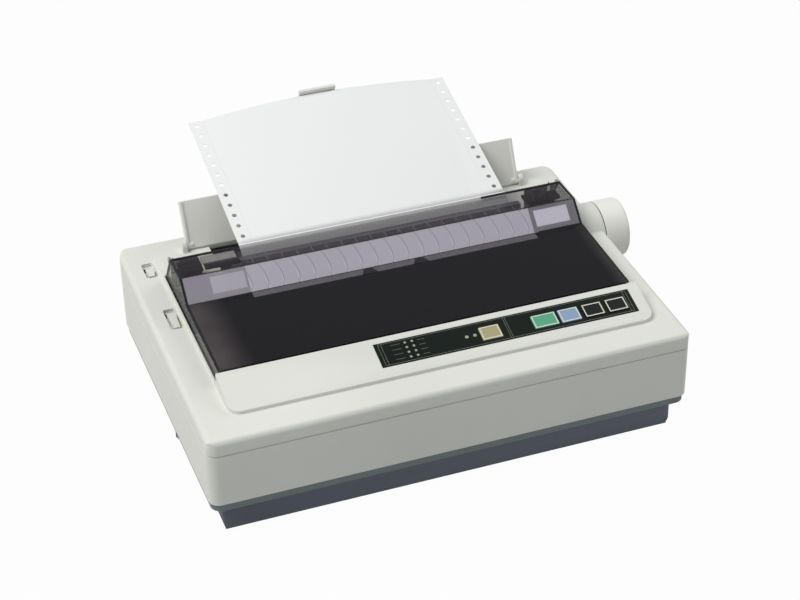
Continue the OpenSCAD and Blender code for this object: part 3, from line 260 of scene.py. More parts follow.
def smoked(name, colour, alpha):
    """Tinted clear plastic with a little haze and fine scuffs."""
    f = Finish(name)
    haze = f.noise(14, 5)
    scuff = f.noise(1.0, 2, 0.6, f.stretched((60, 900, 900), (0.2, 0.1, 0.4)))
    f.set(
        Base_Color=f.blend(haze.step(0.3, 0.8) * 0.5, colour, shade(colour, 1.3)),
        Roughness=0.08 + haze * 0.05 + scuff * 0.05,
        Alpha=alpha + haze * 0.05,
        Normal=f.relief(scuff, 0.00001, 0.15),
    )
    f.set(IOR=1.49)
    return f.material


def cover_plastic(name, lid, window, strip, densities):
    """Smoked cover: dense front lid with patches of painted light at its ends, milky ribbed window whose ribs
    carry a painted highlight beside a painted shade line, half clear top and clear sides.
    """
    lid_alpha, window_alpha, strip_alpha, side_alpha = densities
    f = Finish(name)
    haze = f.noise(11, 5)
    scuff = f.noise(1.0, 2, 0.6, f.stretched((60, 900, 900), (0.2, 0.1, 0.4)))
    x = f.axis("X") - CASE[0] * MM
    y = f.axis("Y") - CASE[1] * MM
    side = (abs(f.axis("X") - COVER_MID) > COVER_HALF - COVER_WALL * MM * 1.2) * 1.0
    past_crease = y.past(CREASE[0])
    past_window = y.past(WINDOW_TOP[0])
    ribbed = x.within(*RIB_X)
    band = y.within(CREASE[0] - BAND_WIDTH, CREASE[0]) * ribbed
    up = (y - CREASE[0] * MM) / ((WINDOW_TOP[0] - CREASE[0]) * MM)
    lane = (x + up * RIB_LEAN * MM) / (RIB_PITCH * MM)
    # a pale line on each rib is a painted highlight, and its mask also raises the ribs' bump; the dark line
    # beside each rib is painted shade
    rib_and_highlight = (1 - abs(lane.part() - 0.5).step(0.015, 0.04)) * ribbed * (1 - up.step(0.1, 0.7))
    rib_shade_line = (1 - abs((lane - up * (1 - up) * 0.8 + 0.1).part() - 0.5).step(0.015, 0.05)) * ribbed
    plain = f.blend(haze.step(0.35, 0.8) * 0.15, window, shade(window, 0.7))
    clear = f.blend(ribbed, f.blend(x.past(RIB_X[1]), shade(window, 0.62), shade(window, 0.4)), plain)
    clear = f.blend(rib_shade_line * 0.45, f.blend(rib_and_highlight * 0.7, clear, shade(window, 1.5)), shade(window, 0.35))
    for low, high, k in WINDOW_PADS:
        pad = x.within(low, high) * y.within(*PAD_Y)
        clear = f.blend(pad, clear, shade(window, k))
    front = f.blend(band, lid, f.blend(rib_and_highlight * 0.25, shade(window, 0.19), shade(window, 0.4)))
    # lighter patches at the lid's left and right ends: painted light
    glow = (1 - x.past(*PAINTED_LIGHT_LEFT)) * 0.8 + x.past(*PAINTED_LIGHT_RIGHT) * 0.4
    front = f.blend(glow * haze.step(0.2, 0.7), front, PAINTED_LIGHT_TINT)
    tint = f.blend(past_window, f.blend(past_crease, front, clear), strip)
    tint = f.blend(side, tint, SIDE_TINT)
    density = lid_alpha + (window_alpha - lid_alpha) * past_crease
    density = density + (strip_alpha - window_alpha) * past_window
    density = density + (side_alpha - density) * side
    f.set(
        Base_Color=tint,
        Roughness=0.06 + haze * 0.05 + scuff * 0.05,
        Alpha=density,
        Normal=f.relief(scuff * 0.2 + rib_and_highlight * past_crease * (1 - past_window), 0.0002, 0.15),
    )
    f.set(IOR=1.49, Specular_IOR_Level=0.3)
    return f.material


def fanfold(name, colour):
    """Paper with fibres and a dashed line of perforations beside each row of holes."""
    f = Finish(name)
    fibre = f.noise(1.0, 4, 0.6, f.stretched((500, 900, 900)))
    cloud = f.noise(9, 3)
    x = f.axis("X")
    across = abs(x - PAPER_X)
    strip = abs(across - (PAPER_HALF - 12.7 * MM))
    line = 1 - strip.step(0.00012, 0.0004)
    dash = (f.axis("Y") * 450).part().step(0.35, 0.5)
    mark = line * dash
    f.set(
        Base_Color=f.blend(mark * 0.35, f.blend(cloud, shade(colour, 0.985), colour), shade(colour, 0.55)),
        Roughness=0.78 + fibre * 0.15,
        Normal=f.relief(fibre * 0.5 - mark, 0.00005, 0.4),
    )
    return f.material


def enamel_board(name, colour):
    """Green board with copper tracks under its mask."""
    f = Finish(name)
    x = f.axis("X")
    y = f.axis("Y")
    lanes = ((x * 260).part() - 0.5) * ((y * 90).part() - 0.5)
    track = f.noise(30, 2).step(0.48, 0.56) * (lanes > 0)
    f.set(
        Base_Color=f.blend(track, colour, shade(colour, 1.7)),
        Roughness=0.3 + f.noise(60, 2) * 0.15,
        Normal=f.relief(track, 0.00004, 0.5),
    )
    return f.material


def inked(name, colour):
    """Woven nylon ribbon soaked in ink."""
    f = Finish(name)
    x = (f.axis("X") * 9000).wave()
    z = (f.axis("Z") * 9000).wave()
    weave = x * z * 0.5 + 0.5
    f.set(
        Base_Color=f.blend(weave, colour, shade(colour, 2.5)),
        Roughness=0.6 + weave * 0.2,
        Normal=f.relief(weave, 0.00004, 0.6),
    )
    return f.material


def laminated(name, colour):
    f = Finish(name)
    layers = (f.axis("Z") * 1800).wave()
    stain = f.noise(35, 4)
    f.set(
        Base_Color=f.blend(stain.step(0.4, 0.7), colour, shade(colour, 0.6)),
        Metallic=0.6,
        Roughness=0.45 + stain * 0.2,
        Normal=f.relief(layers, 0.00008, 0.5),
    )
    return f.material


# ------------------------------------------------------------------ mesh kit
def to_object(name, mesh_maker, body, material, smooth=True):
    """An object from a bmesh, riding on a body."""
    mesh = bpy.data.meshes.new(name)
    bmesh.ops.recalc_face_normals(mesh_maker, faces=mesh_maker.faces)
    mesh_maker.to_mesh(mesh)
    mesh_maker.free()
    for face in mesh.polygons:
        face.use_smooth = smooth
    piece = bpy.data.objects.new(name, mesh)
    bpy.context.scene.collection.objects.link(piece)
    mesh.materials.append(material)
    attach(piece, body)
    return piece


def edges_of(verts):
    """Every edge at these vertices, once."""
    return list(dict.fromkeys(e for v in verts for e in v.link_edges))


def block(bm, low, high, bevel=0.0, segments=3):
    """A box between two corners in millimetres, with rounded edges where a bevel is given."""
    low, high = Vector(low) * MM, Vector(high) * MM
    size = high - low
    made = bmesh.ops.create_cube(
        bm, size=1.0, matrix=Matrix.Translation((low + high) / 2) @ Matrix.Diagonal((*size, 1.0))
    )
    if bevel:
        bmesh.ops.bevel(
            bm,
            geom=edges_of(made["verts"]),
            offset=bevel * MM,
            segments=segments,
            profile=0.5,
            affect="EDGES",
            material=-1,
        )


def rod(bm, start, end, radius, sides=24, cap_bevel=0.0):
    """A round bar between two points in millimetres."""
    start, end = Vector(start) * MM, Vector(end) * MM
    way = end - start
    turn = way.to_track_quat("Z", "Y").to_matrix().to_4x4()
    made = bmesh.ops.create_cone(
        bm,
        cap_ends=True,
        segments=sides,
        radius1=radius * MM,
        radius2=radius * MM,
        depth=way.length,
        matrix=Matrix.Translation((start + end) / 2) @ turn,
    )
    if cap_bevel:
        rims = [e for e in edges_of(made["verts"]) if any(len(f.verts) == sides for f in e.link_faces)]
        bmesh.ops.bevel(
            bm, geom=rims, offset=cap_bevel * MM, segments=3, profile=0.5, affect="EDGES", material=-1
        )


def screw(bm, at, axis, radius, height):
    """A slotted pan head screw, seen from the end that axis points to."""
    head = bmesh.new()
    rod(head, (0, 0, 0), (0, 0, height * 0.45), radius, 24)
    for side in (-1, 1):
        half = bmesh.new()
        rod(half, (0, 0, height * 0.4), (0, 0, height), radius, 24, height * 0.25)
        cut = bmesh.ops.bisect_plane(
            half,
            geom=half.verts[:] + half.edges[:] + half.faces[:],
            plane_co=(0, side * radius * 0.14 * MM, 0),
            plane_no=(0, -side, 0),
            clear_outer=True,
        )
        bmesh.ops.holes_fill(half, edges=[g for g in cut["geom_cut"] if isinstance(g, bmesh.types.BMEdge)])
        join(head, half)
    turn = Vector(axis).to_track_quat("Z", "Y").to_matrix().to_4x4()
    bmesh.ops.transform(head, matrix=Matrix.Translation(Vector(at) * MM) @ turn, verts=head.verts)
    join(bm, head)


def join(bm, other):
    """Adds one bmesh to another and frees it."""
    carrier = bpy.data.meshes.new("carrier")
    other.to_mesh(carrier)
    other.free()
    bm.from_mesh(carrier)
    bpy.data.meshes.remove(carrier)


def slab(bm, outline, thickness, place):
    """A plate from an outline in a plane, thickened along that plane's own Z. Millimetres."""
    plate = bmesh.new()
    ring = [plate.verts.new((x * MM, y * MM, 0)) for x, y in outline]
    face = plate.faces.new(ring)
    grown = bmesh.ops.extrude_face_region(plate, geom=[face])
    moved = [g for g in grown["geom"] if isinstance(g, bmesh.types.BMVert)]
    bmesh.ops.translate(plate, vec=(0, 0, thickness * MM), verts=moved)
    bmesh.ops.recalc_face_normals(plate, faces=plate.faces)
    bmesh.ops.transform(plate, matrix=place, verts=plate.verts)
    join(bm, plate)


def soften(piece, width, angle):
    """Rounds the edges that turn by more than the angle, by a width in millimetres."""
    edge = piece.modifiers.new("edge", "BEVEL")
    edge.width = width * MM
    edge.segments = 2
    edge.limit_method = "ANGLE"
    edge.angle_limit = math.radians(angle)
    edge.harden_normals = False


def merged(node):
    """A bmesh of a node's own mesh with its loose triangles joined."""
    bm = bmesh.new()
    bm.from_mesh(frame["nodes"][node].data)
    bmesh.ops.remove_doubles(bm, verts=bm.verts, dist=WELD)
    bmesh.ops.dissolve_degenerate(bm, edges=bm.edges, dist=WELD)
    return bm


def refine(node, width):
    """A smooth shaded copy of a node's own mesh with its edges softened, in the node's place."""
    bm = merged(node)
    bmesh.ops.dissolve_limit(
        bm, angle_limit=math.radians(FLAT_DEG), verts=bm.verts, edges=bm.edges, delimit={"NORMAL"}
    )
    smooth_copy(bm, node, width, EDGE_DEG)


def smooth_copy(bm, node, width, angle):
    """Puts a bmesh in a node's place, smooth but for the edges that turn by more than the angle."""
    mesh = bpy.data.meshes.new(node + "_fine")
    bm.to_mesh(mesh)
    bm.free()
    mesh.materials.clear()
    mesh.materials.append(finish_of(node))
    for face in mesh.polygons:
        face.use_smooth = True
    mesh.set_sharp_from_angle(angle=math.radians(angle))
    piece = bpy.data.objects.new(node + "_fine", mesh)
    bpy.context.scene.collection.objects.link(piece)
    if width:
        soften(piece, width, angle)
    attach(piece, BODY[node])
    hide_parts(node)


# places that several pieces share, measured on the frame
PAPER_LOW, PAPER_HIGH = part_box("fanfold_paper")
PAPER_X = (PAPER_LOW.x + PAPER_HIGH.x) / 2
PAPER_HALF = (PAPER_HIGH.x - PAPER_LOW.x) / 2
COVER_LOW, COVER_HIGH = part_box("smoked_cover")
COVER_MID = (COVER_LOW.x + COVER_HIGH.x) / 2
COVER_HALF = (COVER_HIGH.x - COVER_LOW.x) / 2
BODY = {node: body for body, nodes in frame["record"]["behaviour"]["bodies"].items() for node in nodes}
SLOT = {part["node"]: part["material_slot"] for part in frame["record"]["subparts"]}

# the machine's own measures in millimetres, with x from the case's middle and y from its centre
CASE = (-12.0, -39.507, 0.0)
SLOPE_FOOT = (0.0, -117.279, 100.764)
SLOPE_DEG = 16.3586
CREASE = (16.02, 117.6)
WINDOW_TOP = (32.42, 133.5)
COVER_FRONT = (-76.98, 113.8)
COVER_REAR = (64.72, 133.5)
COVER_EAR = (84.02, 105.7)
COVER_SIDES = (-174.5, 178.5)
COVER_WALL = 1.8
HINGE_Y = 68.02
BRACKET_WIDTH = 24
PANEL_X = (-49.0, 174.0)
PANEL_V = (10.4, 35.2)
KEY_V = (14.8, 28.4)
KEY_RING = 0.95
KEY_DISH = 0.35
KEYS = {
    "page_key": (46.9, 17.4),
    "online_key": (94.3, 21.3),
    "font_key": (116.2, 17.4),
    "feed_key": (137.1, 17.4),
    "load_key": (158.0, 17.4),
}
STATUS_V = (15.5, 20.5, 25.5, 30.5)
LINE_WIDTH = 0.26
LINE_LIFT = (0.25, 0.35)
PANEL_BARS = (61.4, 63.2)
RIB_X = (-119.0, 134.0)
RIB_PITCH = 13.7
RIB_LEAN = 4.0
BAND_WIDTH = 8.0
WINDOW_PADS = ((-150, -121, 0.95), (138, 169, 1.25))
PAD_Y = (CREASE[0] + 3.5, WINDOW_TOP[0] - 2.5)
# where the front lid's patches of painted light begin at its left and right ends, and their colour
PAINTED_LIGHT_LEFT = (-156, 16)
PAINTED_LIGHT_RIGHT = (172, 7)
PAINTED_LIGHT_TINT = (0.10, 0.080, 0.085)
SIDE_TINT = (0.085, 0.08, 0.088)
TRAY_LIP = 7
COVER_STOP = (-149, -120, 52, 62.5)
GRIPS_X = (-18, 27.5)
REAR_EDGE_X = 104
COVER_BLOCKS = (
    (-170, -151, 44, 60),
    (-149, -118, 45, 50),
    (118, 132, 45, 50),
    (139, 148, 45, 58),
    (151, 158, 47, 61),
    (161, 170, 44, 56),
)
LEVER_X = -184.5
LEVER_SLOTS = ((18.0, 36.5, 32.4, 98.28), (93.5, 108.0, 103.0, 100.48))
SLANT_START = (68.88, 131.834)
SLANT_END = (217.696, 173.104)
SLANT_CUTS = 26
KNOB_RIM = 3.5
ROUND = 96
PORT_PITCH = 2.54
PORT_CONTACTS = 18

# screws as their x, y and z places, the way the head faces, its radius and its height
SCREWS = (
    ((-184.24, 184.24), (144.9,), (46, 76), (0, 1, 0), 2.8, 1.2),
    ((-181, -149), (144.9,), (60,), (0, 1, 0), 1.9, 0.9),
    ((-155, 155), (-100, 100), (3.1,), (0, 0, -1), 2.8, 1.0),
    ((-153, 165), (-53.94, 104.16), (15.4,), (0, 0, 1), 2.4, 1.5),
    ((-142, -110), (-56,), (51.9,), (0, 0, 1), 1.8, 1.0),
)

# how strongly each moulded piece's edges are softened, as a share of the sidebar's Edge size
REFINED = {
    "top_housing": 1.0,
    "mid_housing": 1.0,
    "lower_case": 1.2,
    "sheet_guide": 0.8,
    "support_arm": 0.8,
    "bail_lever": 0.8,
    "release_lever": 0.8,
    "ribbon_cassette": 0.8,
    "power_rocker": 0.8,
    "switch_housing": 0.5,
    "power_inlet": 0.6,
    "left_tractor": 0.6,
    "right_tractor": 0.6,
    "left_tractor_door": 0.4,
    "right_tractor_door": 0.4,
    "carriage": 0.6,
    "ribbon_knob": 0.8,
}

# the stage, in metres
FLOOR_HALF = 6.0
FLOOR_DROP = 0.0002
FLOOR_GREY = (0.50, 0.50, 0.50)
WHITE_SHARE = 0.97
SKY_COLOUR = (0.92, 0.98, 1.0)
LAMP_COLOUR = (1.0, 0.985, 0.955)
LAMP_AIM = Vector((0, 0, 0.05))
KEY_LAMP = ((-1.55, -0.05, 2.4), 1.8)
FILL_LAMP = ((2.0, 0.45, 1.6), 1.4)
CAMERA_AT = (-0.48229, -1.36765, 1.01023)
CAMERA_RIGHT = Vector((0.93811, -0.34600, -0.01520))
CAMERA_UP = Vector((0.20107, 0.50837, 0.83734))
SENSOR_WIDTH = 36


def case_matrix(x=0.0, y=0.0, z=0.0, deg=0.0):
    """A place in the case's own measures, tilted about X, as a matrix in the frame."""
    spot = Vector((x, y, z)) + Vector(CASE)
    return Matrix.Translation(spot * MM) @ Matrix.Rotation(math.radians(deg), 4, "X")


SLOPE = case_matrix(*SLOPE_FOOT, SLOPE_DEG)


def settle(bm, matrix=None):
    """Puts a bmesh drawn in the case's measures, or on a tilted face, into the frame."""
    bmesh.ops.transform(bm, matrix=matrix or case_matrix(), verts=bm.verts)
    return bm


def flat_plate(bm, x0, x1, v0, v1, low, high):
    block(bm, (x0, v0, low), (x1, v1, high))


def colour_property(name, description, default):
    return FloatVectorProperty(name=name, description=description, subtype="COLOR", size=3, default=default)


def density_property(name, description, default):
    return FloatProperty(
        name=name, description=description, subtype="FACTOR", min=0.1, max=1.0, default=default
    )


class PrinterColours(PropertyGroup):
    case: colour_property("Case", "Beige of the case", (0.79, 0.795, 0.745))
    base: colour_property("Base", "Slate of the base tray", (0.092, 0.112, 0.150))
    smoke: colour_property("Cover", "Tint of the smoked cover", (0.007, 0.006, 0.009))
    window: colour_property("Window", "Tint of the cover's milky window", (0.58, 0.54, 0.63))
    strip: colour_property("Cover top", "Tint of the cover's top behind the window", (0.045, 0.034, 0.044))
    lip: colour_property("Tray lip", "Paler lip round the top of the base tray", (0.175, 0.215, 0.222))
    # a paler beige than the case, painted light that brightens the sheet guide and the platen knob
    guide: colour_property("Sheet guide", "Pale beige of the sheet guide", (0.92, 0.91, 0.86))
    paper: colour_property("Paper", "White of the fanfold sheet", (0.87, 0.87, 0.88))
    panel: colour_property("Key panel", "Overlay round the keys", (0.006, 0.0105, 0.008))
    outline: colour_property("Outline", "Pale lines round the keys", (0.74, 0.74, 0.62))
    line: colour_property("Panel line", "Thin lines of the key panel", (0.24, 0.25, 0.22))
    green: colour_property("On-line key", "Green key", (0.10, 0.40, 0.24))
    blue: colour_property("Blue key", "Pale blue key", (0.27, 0.38, 0.56))
    sand: colour_property("Sand key", "Sand coloured key", (0.42, 0.38, 0.21))


class PrinterSizes(PropertyGroup):
    lid_alpha: density_property("Lid density", "How much the front lid hides", 0.96)
    window_alpha: density_property("Window density", "How much the window hides", 0.80)
    strip_alpha: density_property("Top density", "How much the cover's top hides", 0.32)
    side_alpha: density_property("Side density", "How much the cover's side plates hide", 0.40)
    edge_round: FloatProperty(
        name="Edge", description="Rounding of moulded edges in millimetres", min=0.05, max=1.0, default=0.5
    )


class PrinterStage(PropertyGroup):
    lens: FloatProperty(name="Lens", description="Focal length of the camera", unit="CAMERA", default=90.23)
    key_light: FloatProperty(name="Key light", description="Power of the large lamp", default=54.0)
    fill_light: FloatProperty(name="Fill light", description="Power of the lamp on the right", default=14.0)
    sky: FloatProperty(name="Sky", description="Strength of the even light", default=0.35)


class DressNodes(Operator):
    """Give every piece of the fixed frame its own finish"""

    bl_idname = "printer.dress_nodes"
    bl_label = "Dress frame pieces"

    def execute(self, context):
        c = context.scene.printer_colours
        sizes = context.scene.printer_sizes
        case = moulded("case_beige", c.case, 1100, 0.00005, 0.45, 0.035)
        lip = (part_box("lower_case")[1][2] - TRAY_LIP * MM, c.lip)
        base = moulded("base_slate", c.base, 900, 0.00008, 0.5, 0.12, lip=lip)
        black = moulded("black_plastic", (0.018, 0.018, 0.02), 900, 0.00005, 0.38, 0.1)
        grey = moulded("grey_plastic", (0.07, 0.08, 0.09), 900, 0.00005, 0.42, 0.1)
        acetal = moulded("gear_acetal", (0.78, 0.76, 0.68), 1500, 0.00002, 0.32, 0.03)
        zinc = brushed("zinc_sheet", (0.60, 0.61, 0.62), "Y", 0.34, 0.8)
        ground = brushed("ground_rod", (0.70, 0.71, 0.73), "X", 0.18)
        finishes = {
            "case_beige": case,
            "base_slate": base,
            "foot_rubber": soft_rubber("foot_rubber", (0.02, 0.02, 0.022)),
            "zinc_steel": zinc,
            "ground_steel": ground,
            "black_plastic": black,
            "grey_plastic": grey,
            "motor_can": brushed("motor_can", (0.10, 0.10, 0.11), "Z", 0.4, 0.7),
            "belt_rubber": soft_rubber("belt_rubber", (0.015, 0.015, 0.015)),
            "ribbon_fabric": inked("inked_ribbon", (0.012, 0.012, 0.018)),
            "board_green": enamel_board("board_mask", (0.02, 0.14, 0.06)),
            "core_steel": laminated("core_laminations", (0.18, 0.15, 0.12)),
            "connector_metal": brushed("connector_shell", (0.62, 0.62, 0.60), "X", 0.25),
            "panel_grey": moulded("panel_overlay", c.panel, 1400, 0.00002, 0.34, 0.08, shine=0.2),
            "lamp_green": moulded("lamp_lens", (0.35, 0.40, 0.30), 2000, 0.00001, 0.12, 0.05, 0.5),
            "paper_white": fanfold("fanfold_paper", c.paper),
            "smoke_clear": cover_plastic(
                "smoked_cover",
                c.smoke,
                c.window,
                c.strip,
                (sizes.lid_alpha, sizes.window_alpha, sizes.strip_alpha, sizes.side_alpha),
            ),
            "clear_plastic": smoked("clear_ribs", (0.30, 0.28, 0.34), 0.6),
            "platen_rubber": soft_rubber("platen_rubber", (0.03, 0.03, 0.04), 0.55),
            "gear_white": acetal,
            "key_sand": moulded("key_sand", c.sand, 1500, 0.00002, 0.36, 0.05),
            "key_green": moulded("key_green", c.green, 1500, 0.00002, 0.36, 0.05),
            "key_blue": moulded("key_blue", c.blue, 1500, 0.00002, 0.36, 0.05),
            "key_black": moulded("key_black", (0.010, 0.011, 0.012), 1500, 0.00002, 0.36, 0.05, shine=0.25),
            "rocker_blue": moulded("rocker_blue", (0.03, 0.07, 0.25), 1500, 0.00002, 0.3, 0.05),
            "head_alloy": brushed("head_alloy", (0.20, 0.20, 0.21), "Z", 0.4, 0.8),
        }
        for node, piece in frame["nodes"].items():
            piece.data.materials.clear()
            piece.data.materials.append(finishes[SLOT[node]])
        # the sheet guide and platen knob get a paler copy of the case beige: painted light
        pale = moulded("guide_beige_painted_light", c.guide, 1100, 0.00005, 0.45, 0.035)
        for node in ("sheet_guide", "platen_knob"):
            frame["nodes"][node].data.materials.clear()
            frame["nodes"][node].data.materials.append(pale)
        return {"FINISHED"}


def finish_of(node):
    return frame["nodes"][node].data.materials[0]


class RefineNodes(Operator):
    """Round the edges of the moulded pieces and smooth the curved ones"""

    bl_idname = "printer.refine_nodes"
    bl_label = "Soften moulded edges"

    def execute(self, context):
        r = context.scene.printer_sizes.edge_round
        for node, width in REFINED.items():
            refine(node, width * r)
        return {"FINISHED"}


class BuildPaper(Operator):
    """Fanfold sheet, with its bowed free end cut into short rows for even shading"""

    bl_idname = "printer.build_paper"
    bl_label = "Build the paper"

    def execute(self, context):
        bm = merged("fanfold_paper")
        way = Vector((0, SLANT_END[0] - SLANT_START[0], SLANT_END[1] - SLANT_START[1])) * MM
        start = case_matrix(0, *SLANT_START).translation
        for k in range(1, SLANT_CUTS):
            bmesh.ops.bisect_plane(
                bm,
                geom=bm.verts[:] + bm.edges[:] + bm.faces[:],
                dist=0.000001,
                plane_co=start + way * k / SLANT_CUTS,
                plane_no=way,
            )
        smooth_copy(bm, "fanfold_paper", 0, PAPER_EDGE_DEG)
        return {"FINISHED"}


class BuildKeys(Operator):
    """Dished key caps, each with a pale outline"""

    bl_idname = "printer.build_keys"
    bl_label = "Build the keys"

    def execute(self, context):
        pale = moulded("key_outline", context.scene.printer_colours.outline, 1500, 0.00002, 0.4, 0.04)
        for node, (x, width) in KEYS.items():
            bm = bmesh.new()
            x0, x1 = x - width / 2, x + width / 2
            block(bm, (x0, KEY_V[0], -3.2), (x1, KEY_V[1], 1.15), 0.55, 3)
            bm.faces.ensure_lookup_table()
            top = max(bm.faces, key=lambda face: (round(face.calc_center_median().z, 6), face.calc_area()))
            ring = bmesh.ops.inset_region(bm, faces=[top], thickness=KEY_RING * MM, use_even_offset=True)
            for face in ring["faces"]:
                face.material_index = 1
            bmesh.ops.inset_region(
                bm, faces=[top], thickness=KEY_DISH * MM, depth=-0.3 * MM, use_even_offset=True
            )
            block(bm, (x0 - 1, KEY_V[0] - 1, -3.2), (x1 + 1, KEY_V[1] + 1, -1.3), 0.2, 1)
            rod(bm, (x, sum(KEY_V) / 2, -4.3), (x, sum(KEY_V) / 2, -3.1), 1.6)
            cap = to_object(node + "_cap", settle(bm, SLOPE), BODY[node], finish_of(node), False)
            cap.data.materials.append(pale)
            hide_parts(node)
        return {"FINISHED"}


class BuildPanelLines(Operator):
    """Pale outline, bars and lamp lines on the key panel"""

    bl_idname = "printer.build_panel_lines"
    bl_label = "Build the panel lines"

    def execute(self, context):
        pale = moulded("panel_line", context.scene.printer_colours.line, 1500, 0.00002, 0.4, 0.04)
        bm = bmesh.new()
        low, high = LINE_LIFT
        half = LINE_WIDTH / 2
        x0, x1 = PANEL_X[0] + 3.4, PANEL_X[1] - 3.4
        v0, v1 = PANEL_V[0] + 1.5, PANEL_V[1] - 1.5
        for v in (v0, v1):
            flat_plate(bm, x0, x1, v - half, v + half, low, high)
        for x in (x0, x0 + 2.6, x1 - 2.6, x1, *PANEL_BARS):
            flat_plate(bm, x - half, x + half, v0, v1, low, high)
        for v in STATUS_V:
            flat_plate(bm, -36.0, -28.0, v - half, v + half, low, high)
            flat_plate(bm, -13.0, -7.0, v - half, v + half, low, high)
        to_object("panel_lines", settle(bm, SLOPE), "case", pale, False)
        return {"FINISHED"}


def line(bm, at, tilt, x0, x1, v0, v1, low, high):
    """A thin strip on one of the cover's faces."""
    strip = bmesh.new()
    flat_plate(strip, x0, x1, v0, v1, low, high)
    join(bm, settle(strip, case_matrix(0, *at, tilt)))


class BuildCoverTrim(Operator):
    """Dark strips of painted shade along the cover's edges, grips and the blocks under the cover's top"""

    bl_idname = "printer.build_cover_trim"
    bl_label = "Build the cover trim"

    def execute(self, context):
        # dark strips along the side walls, crease, window top and rear edge are painted shade where the clear
        # plastic's edges look dark
        dark = moulded("cover_edge_shade", (0.010, 0.009, 0.012), 1500, 0.00002, 0.25, 0.05)
        path = [COVER_FRONT, CREASE, WINDOW_TOP, COVER_REAR, COVER_EAR]
        tilts = [math.degrees(math.atan2(q[1] - p[1], q[0] - p[0])) for p, q in zip(path, path[1:])]
        left, right = COVER_SIDES
        bm = bmesh.new()
        for x0, x1 in ((left, left + COVER_WALL), (right - COVER_WALL, right)):
            for p, q, tilt in zip(path, path[1:], tilts):
                line(bm, p, tilt, x0, x1, 0, math.dist(p, q), -1.1, 0.06)
        line(bm, CREASE, tilts[0], left + 1, right - 1, -0.7, 0.1, -1.2, 0.08)
        line(bm, CREASE, tilts[1], RIB_X[1] + 4, right - 1, -0.1, 0.7, -1.2, 0.08)
        line(bm, WINDOW_TOP, tilts[2], left + 1, right - 1, -0.1, 1.1, -1.2, 0.08)
        line(bm, COVER_REAR, 0, left + 1, RIB_X[0] - 2, -1.3, 0, -1.5, 0.08)
        line(bm, COVER_REAR, 0, REAR_EDGE_X, right - 1, -1.3, 0, -1.5, 0.08)
        for x in GRIPS_X:
            grip = ((x - 7.2, -8.4), (x + 7.2, -8.4), (x + 3.2, -0.5), (x - 3.2, -0.5))
            slab(bm, grip, 0.4, case_matrix(0, *CREASE, tilts[0]) @ Matrix.Translation((0, 0, -0.2 * MM)))
        to_object("cover_edge_shades", bm, "cover", dark, False)

        bm = bmesh.new()
        top, under = COVER_REAR[1] - COVER_WALL - 0.1, COVER_REAR[1] - COVER_WALL - 3
        for x0, x1, y0, y1 in COVER_BLOCKS:
            block(bm, (x0, y0, under), (x1, y1, top), 0.4, 2)
        to_object("cover_blocks", settle(bm), "cover", finish_of("ribbon_cassette"))
        bm = bmesh.new()
        x0, x1, y0, y1 = COVER_STOP
        block(bm, (x0, y0, under), (x1, y1, top), 0.4, 2)
        to_object("cover_stop", settle(bm), "cover", finish_of("sheet_guide"))
        return {"FINISHED"}


def turned(bm, profile, axis_at):
    """A closed shape turned about a line along X. The profile lists (x, radius), ends on the line."""
    points = [bm.verts.new((x * MM, 0, r * MM)) for x, r in profile]
    edges = [bm.edges.new(pair) for pair in zip(points, points[1:])]
    bmesh.ops.spin(
        bm,
        geom=points + edges,
        axis=(1, 0, 0),
        cent=(0, 0, 0),
        angle=2 * math.pi,
        steps=ROUND,
        use_merge=True,
    )
    bmesh.ops.remove_doubles(bm, verts=bm.verts, dist=WELD)
    bmesh.ops.recalc_face_normals(bm, faces=bm.faces)
    bmesh.ops.translate(bm, vec=Vector((0, axis_at[0], axis_at[1])) * MM, verts=bm.verts)


class BuildKnob(Operator):
    """Platen knob with a rounded rim and a shallow dish, and behind it a black disc that paints the shade in
    the gap
    """

    bl_idname = "printer.build_knob"
    bl_label = "Build the platen knob"

    def execute(self, context):
        low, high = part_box("platen_knob")
        middle = (low + high) / 2 / MM
        inner, outer, radius = low.x / MM, high.x / MM, (high.z - low.z) / 2 / MM
        angles = [k * math.pi / 16 for k in range(9)]
        rim_x, rim_r = outer - KNOB_RIM, radius - KNOB_RIM
        curve = [(rim_x + KNOB_RIM * math.sin(a), rim_r + KNOB_RIM * math.cos(a)) for a in angles]
        dish = [(outer - dx, radius - dr) for dx, dr in ((0, 6), (0.15, 6.5), (0.7, 7.6), (0.9, 9))]
        back = [(inner, 0), (inner, radius - 0.4), (inner + 0.4, radius)]
        bm = bmesh.new()
        turned(bm, [*back, *curve, *dish, (outer - 0.9, 0)], (middle.y, middle.z))
        knob = to_object("knob_shell", bm, "platen", finish_of("platen_knob"))
        knob.data.set_sharp_from_angle(angle=math.radians(KNOB_EDGE_DEG))
        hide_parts("platen_knob")
        # a black disc behind the knob: painted shade in the gap between the knob and the case
        bm = bmesh.new()
        rod(bm, (inner - 0.65, middle.y, middle.z), (inner + 0.1, middle.y, middle.z), radius - 0.25, ROUND)
        to_object("knob_gap_shade", bm, "platen", finish_of("ribbon_cassette"), False)
        return {"FINISHED"}


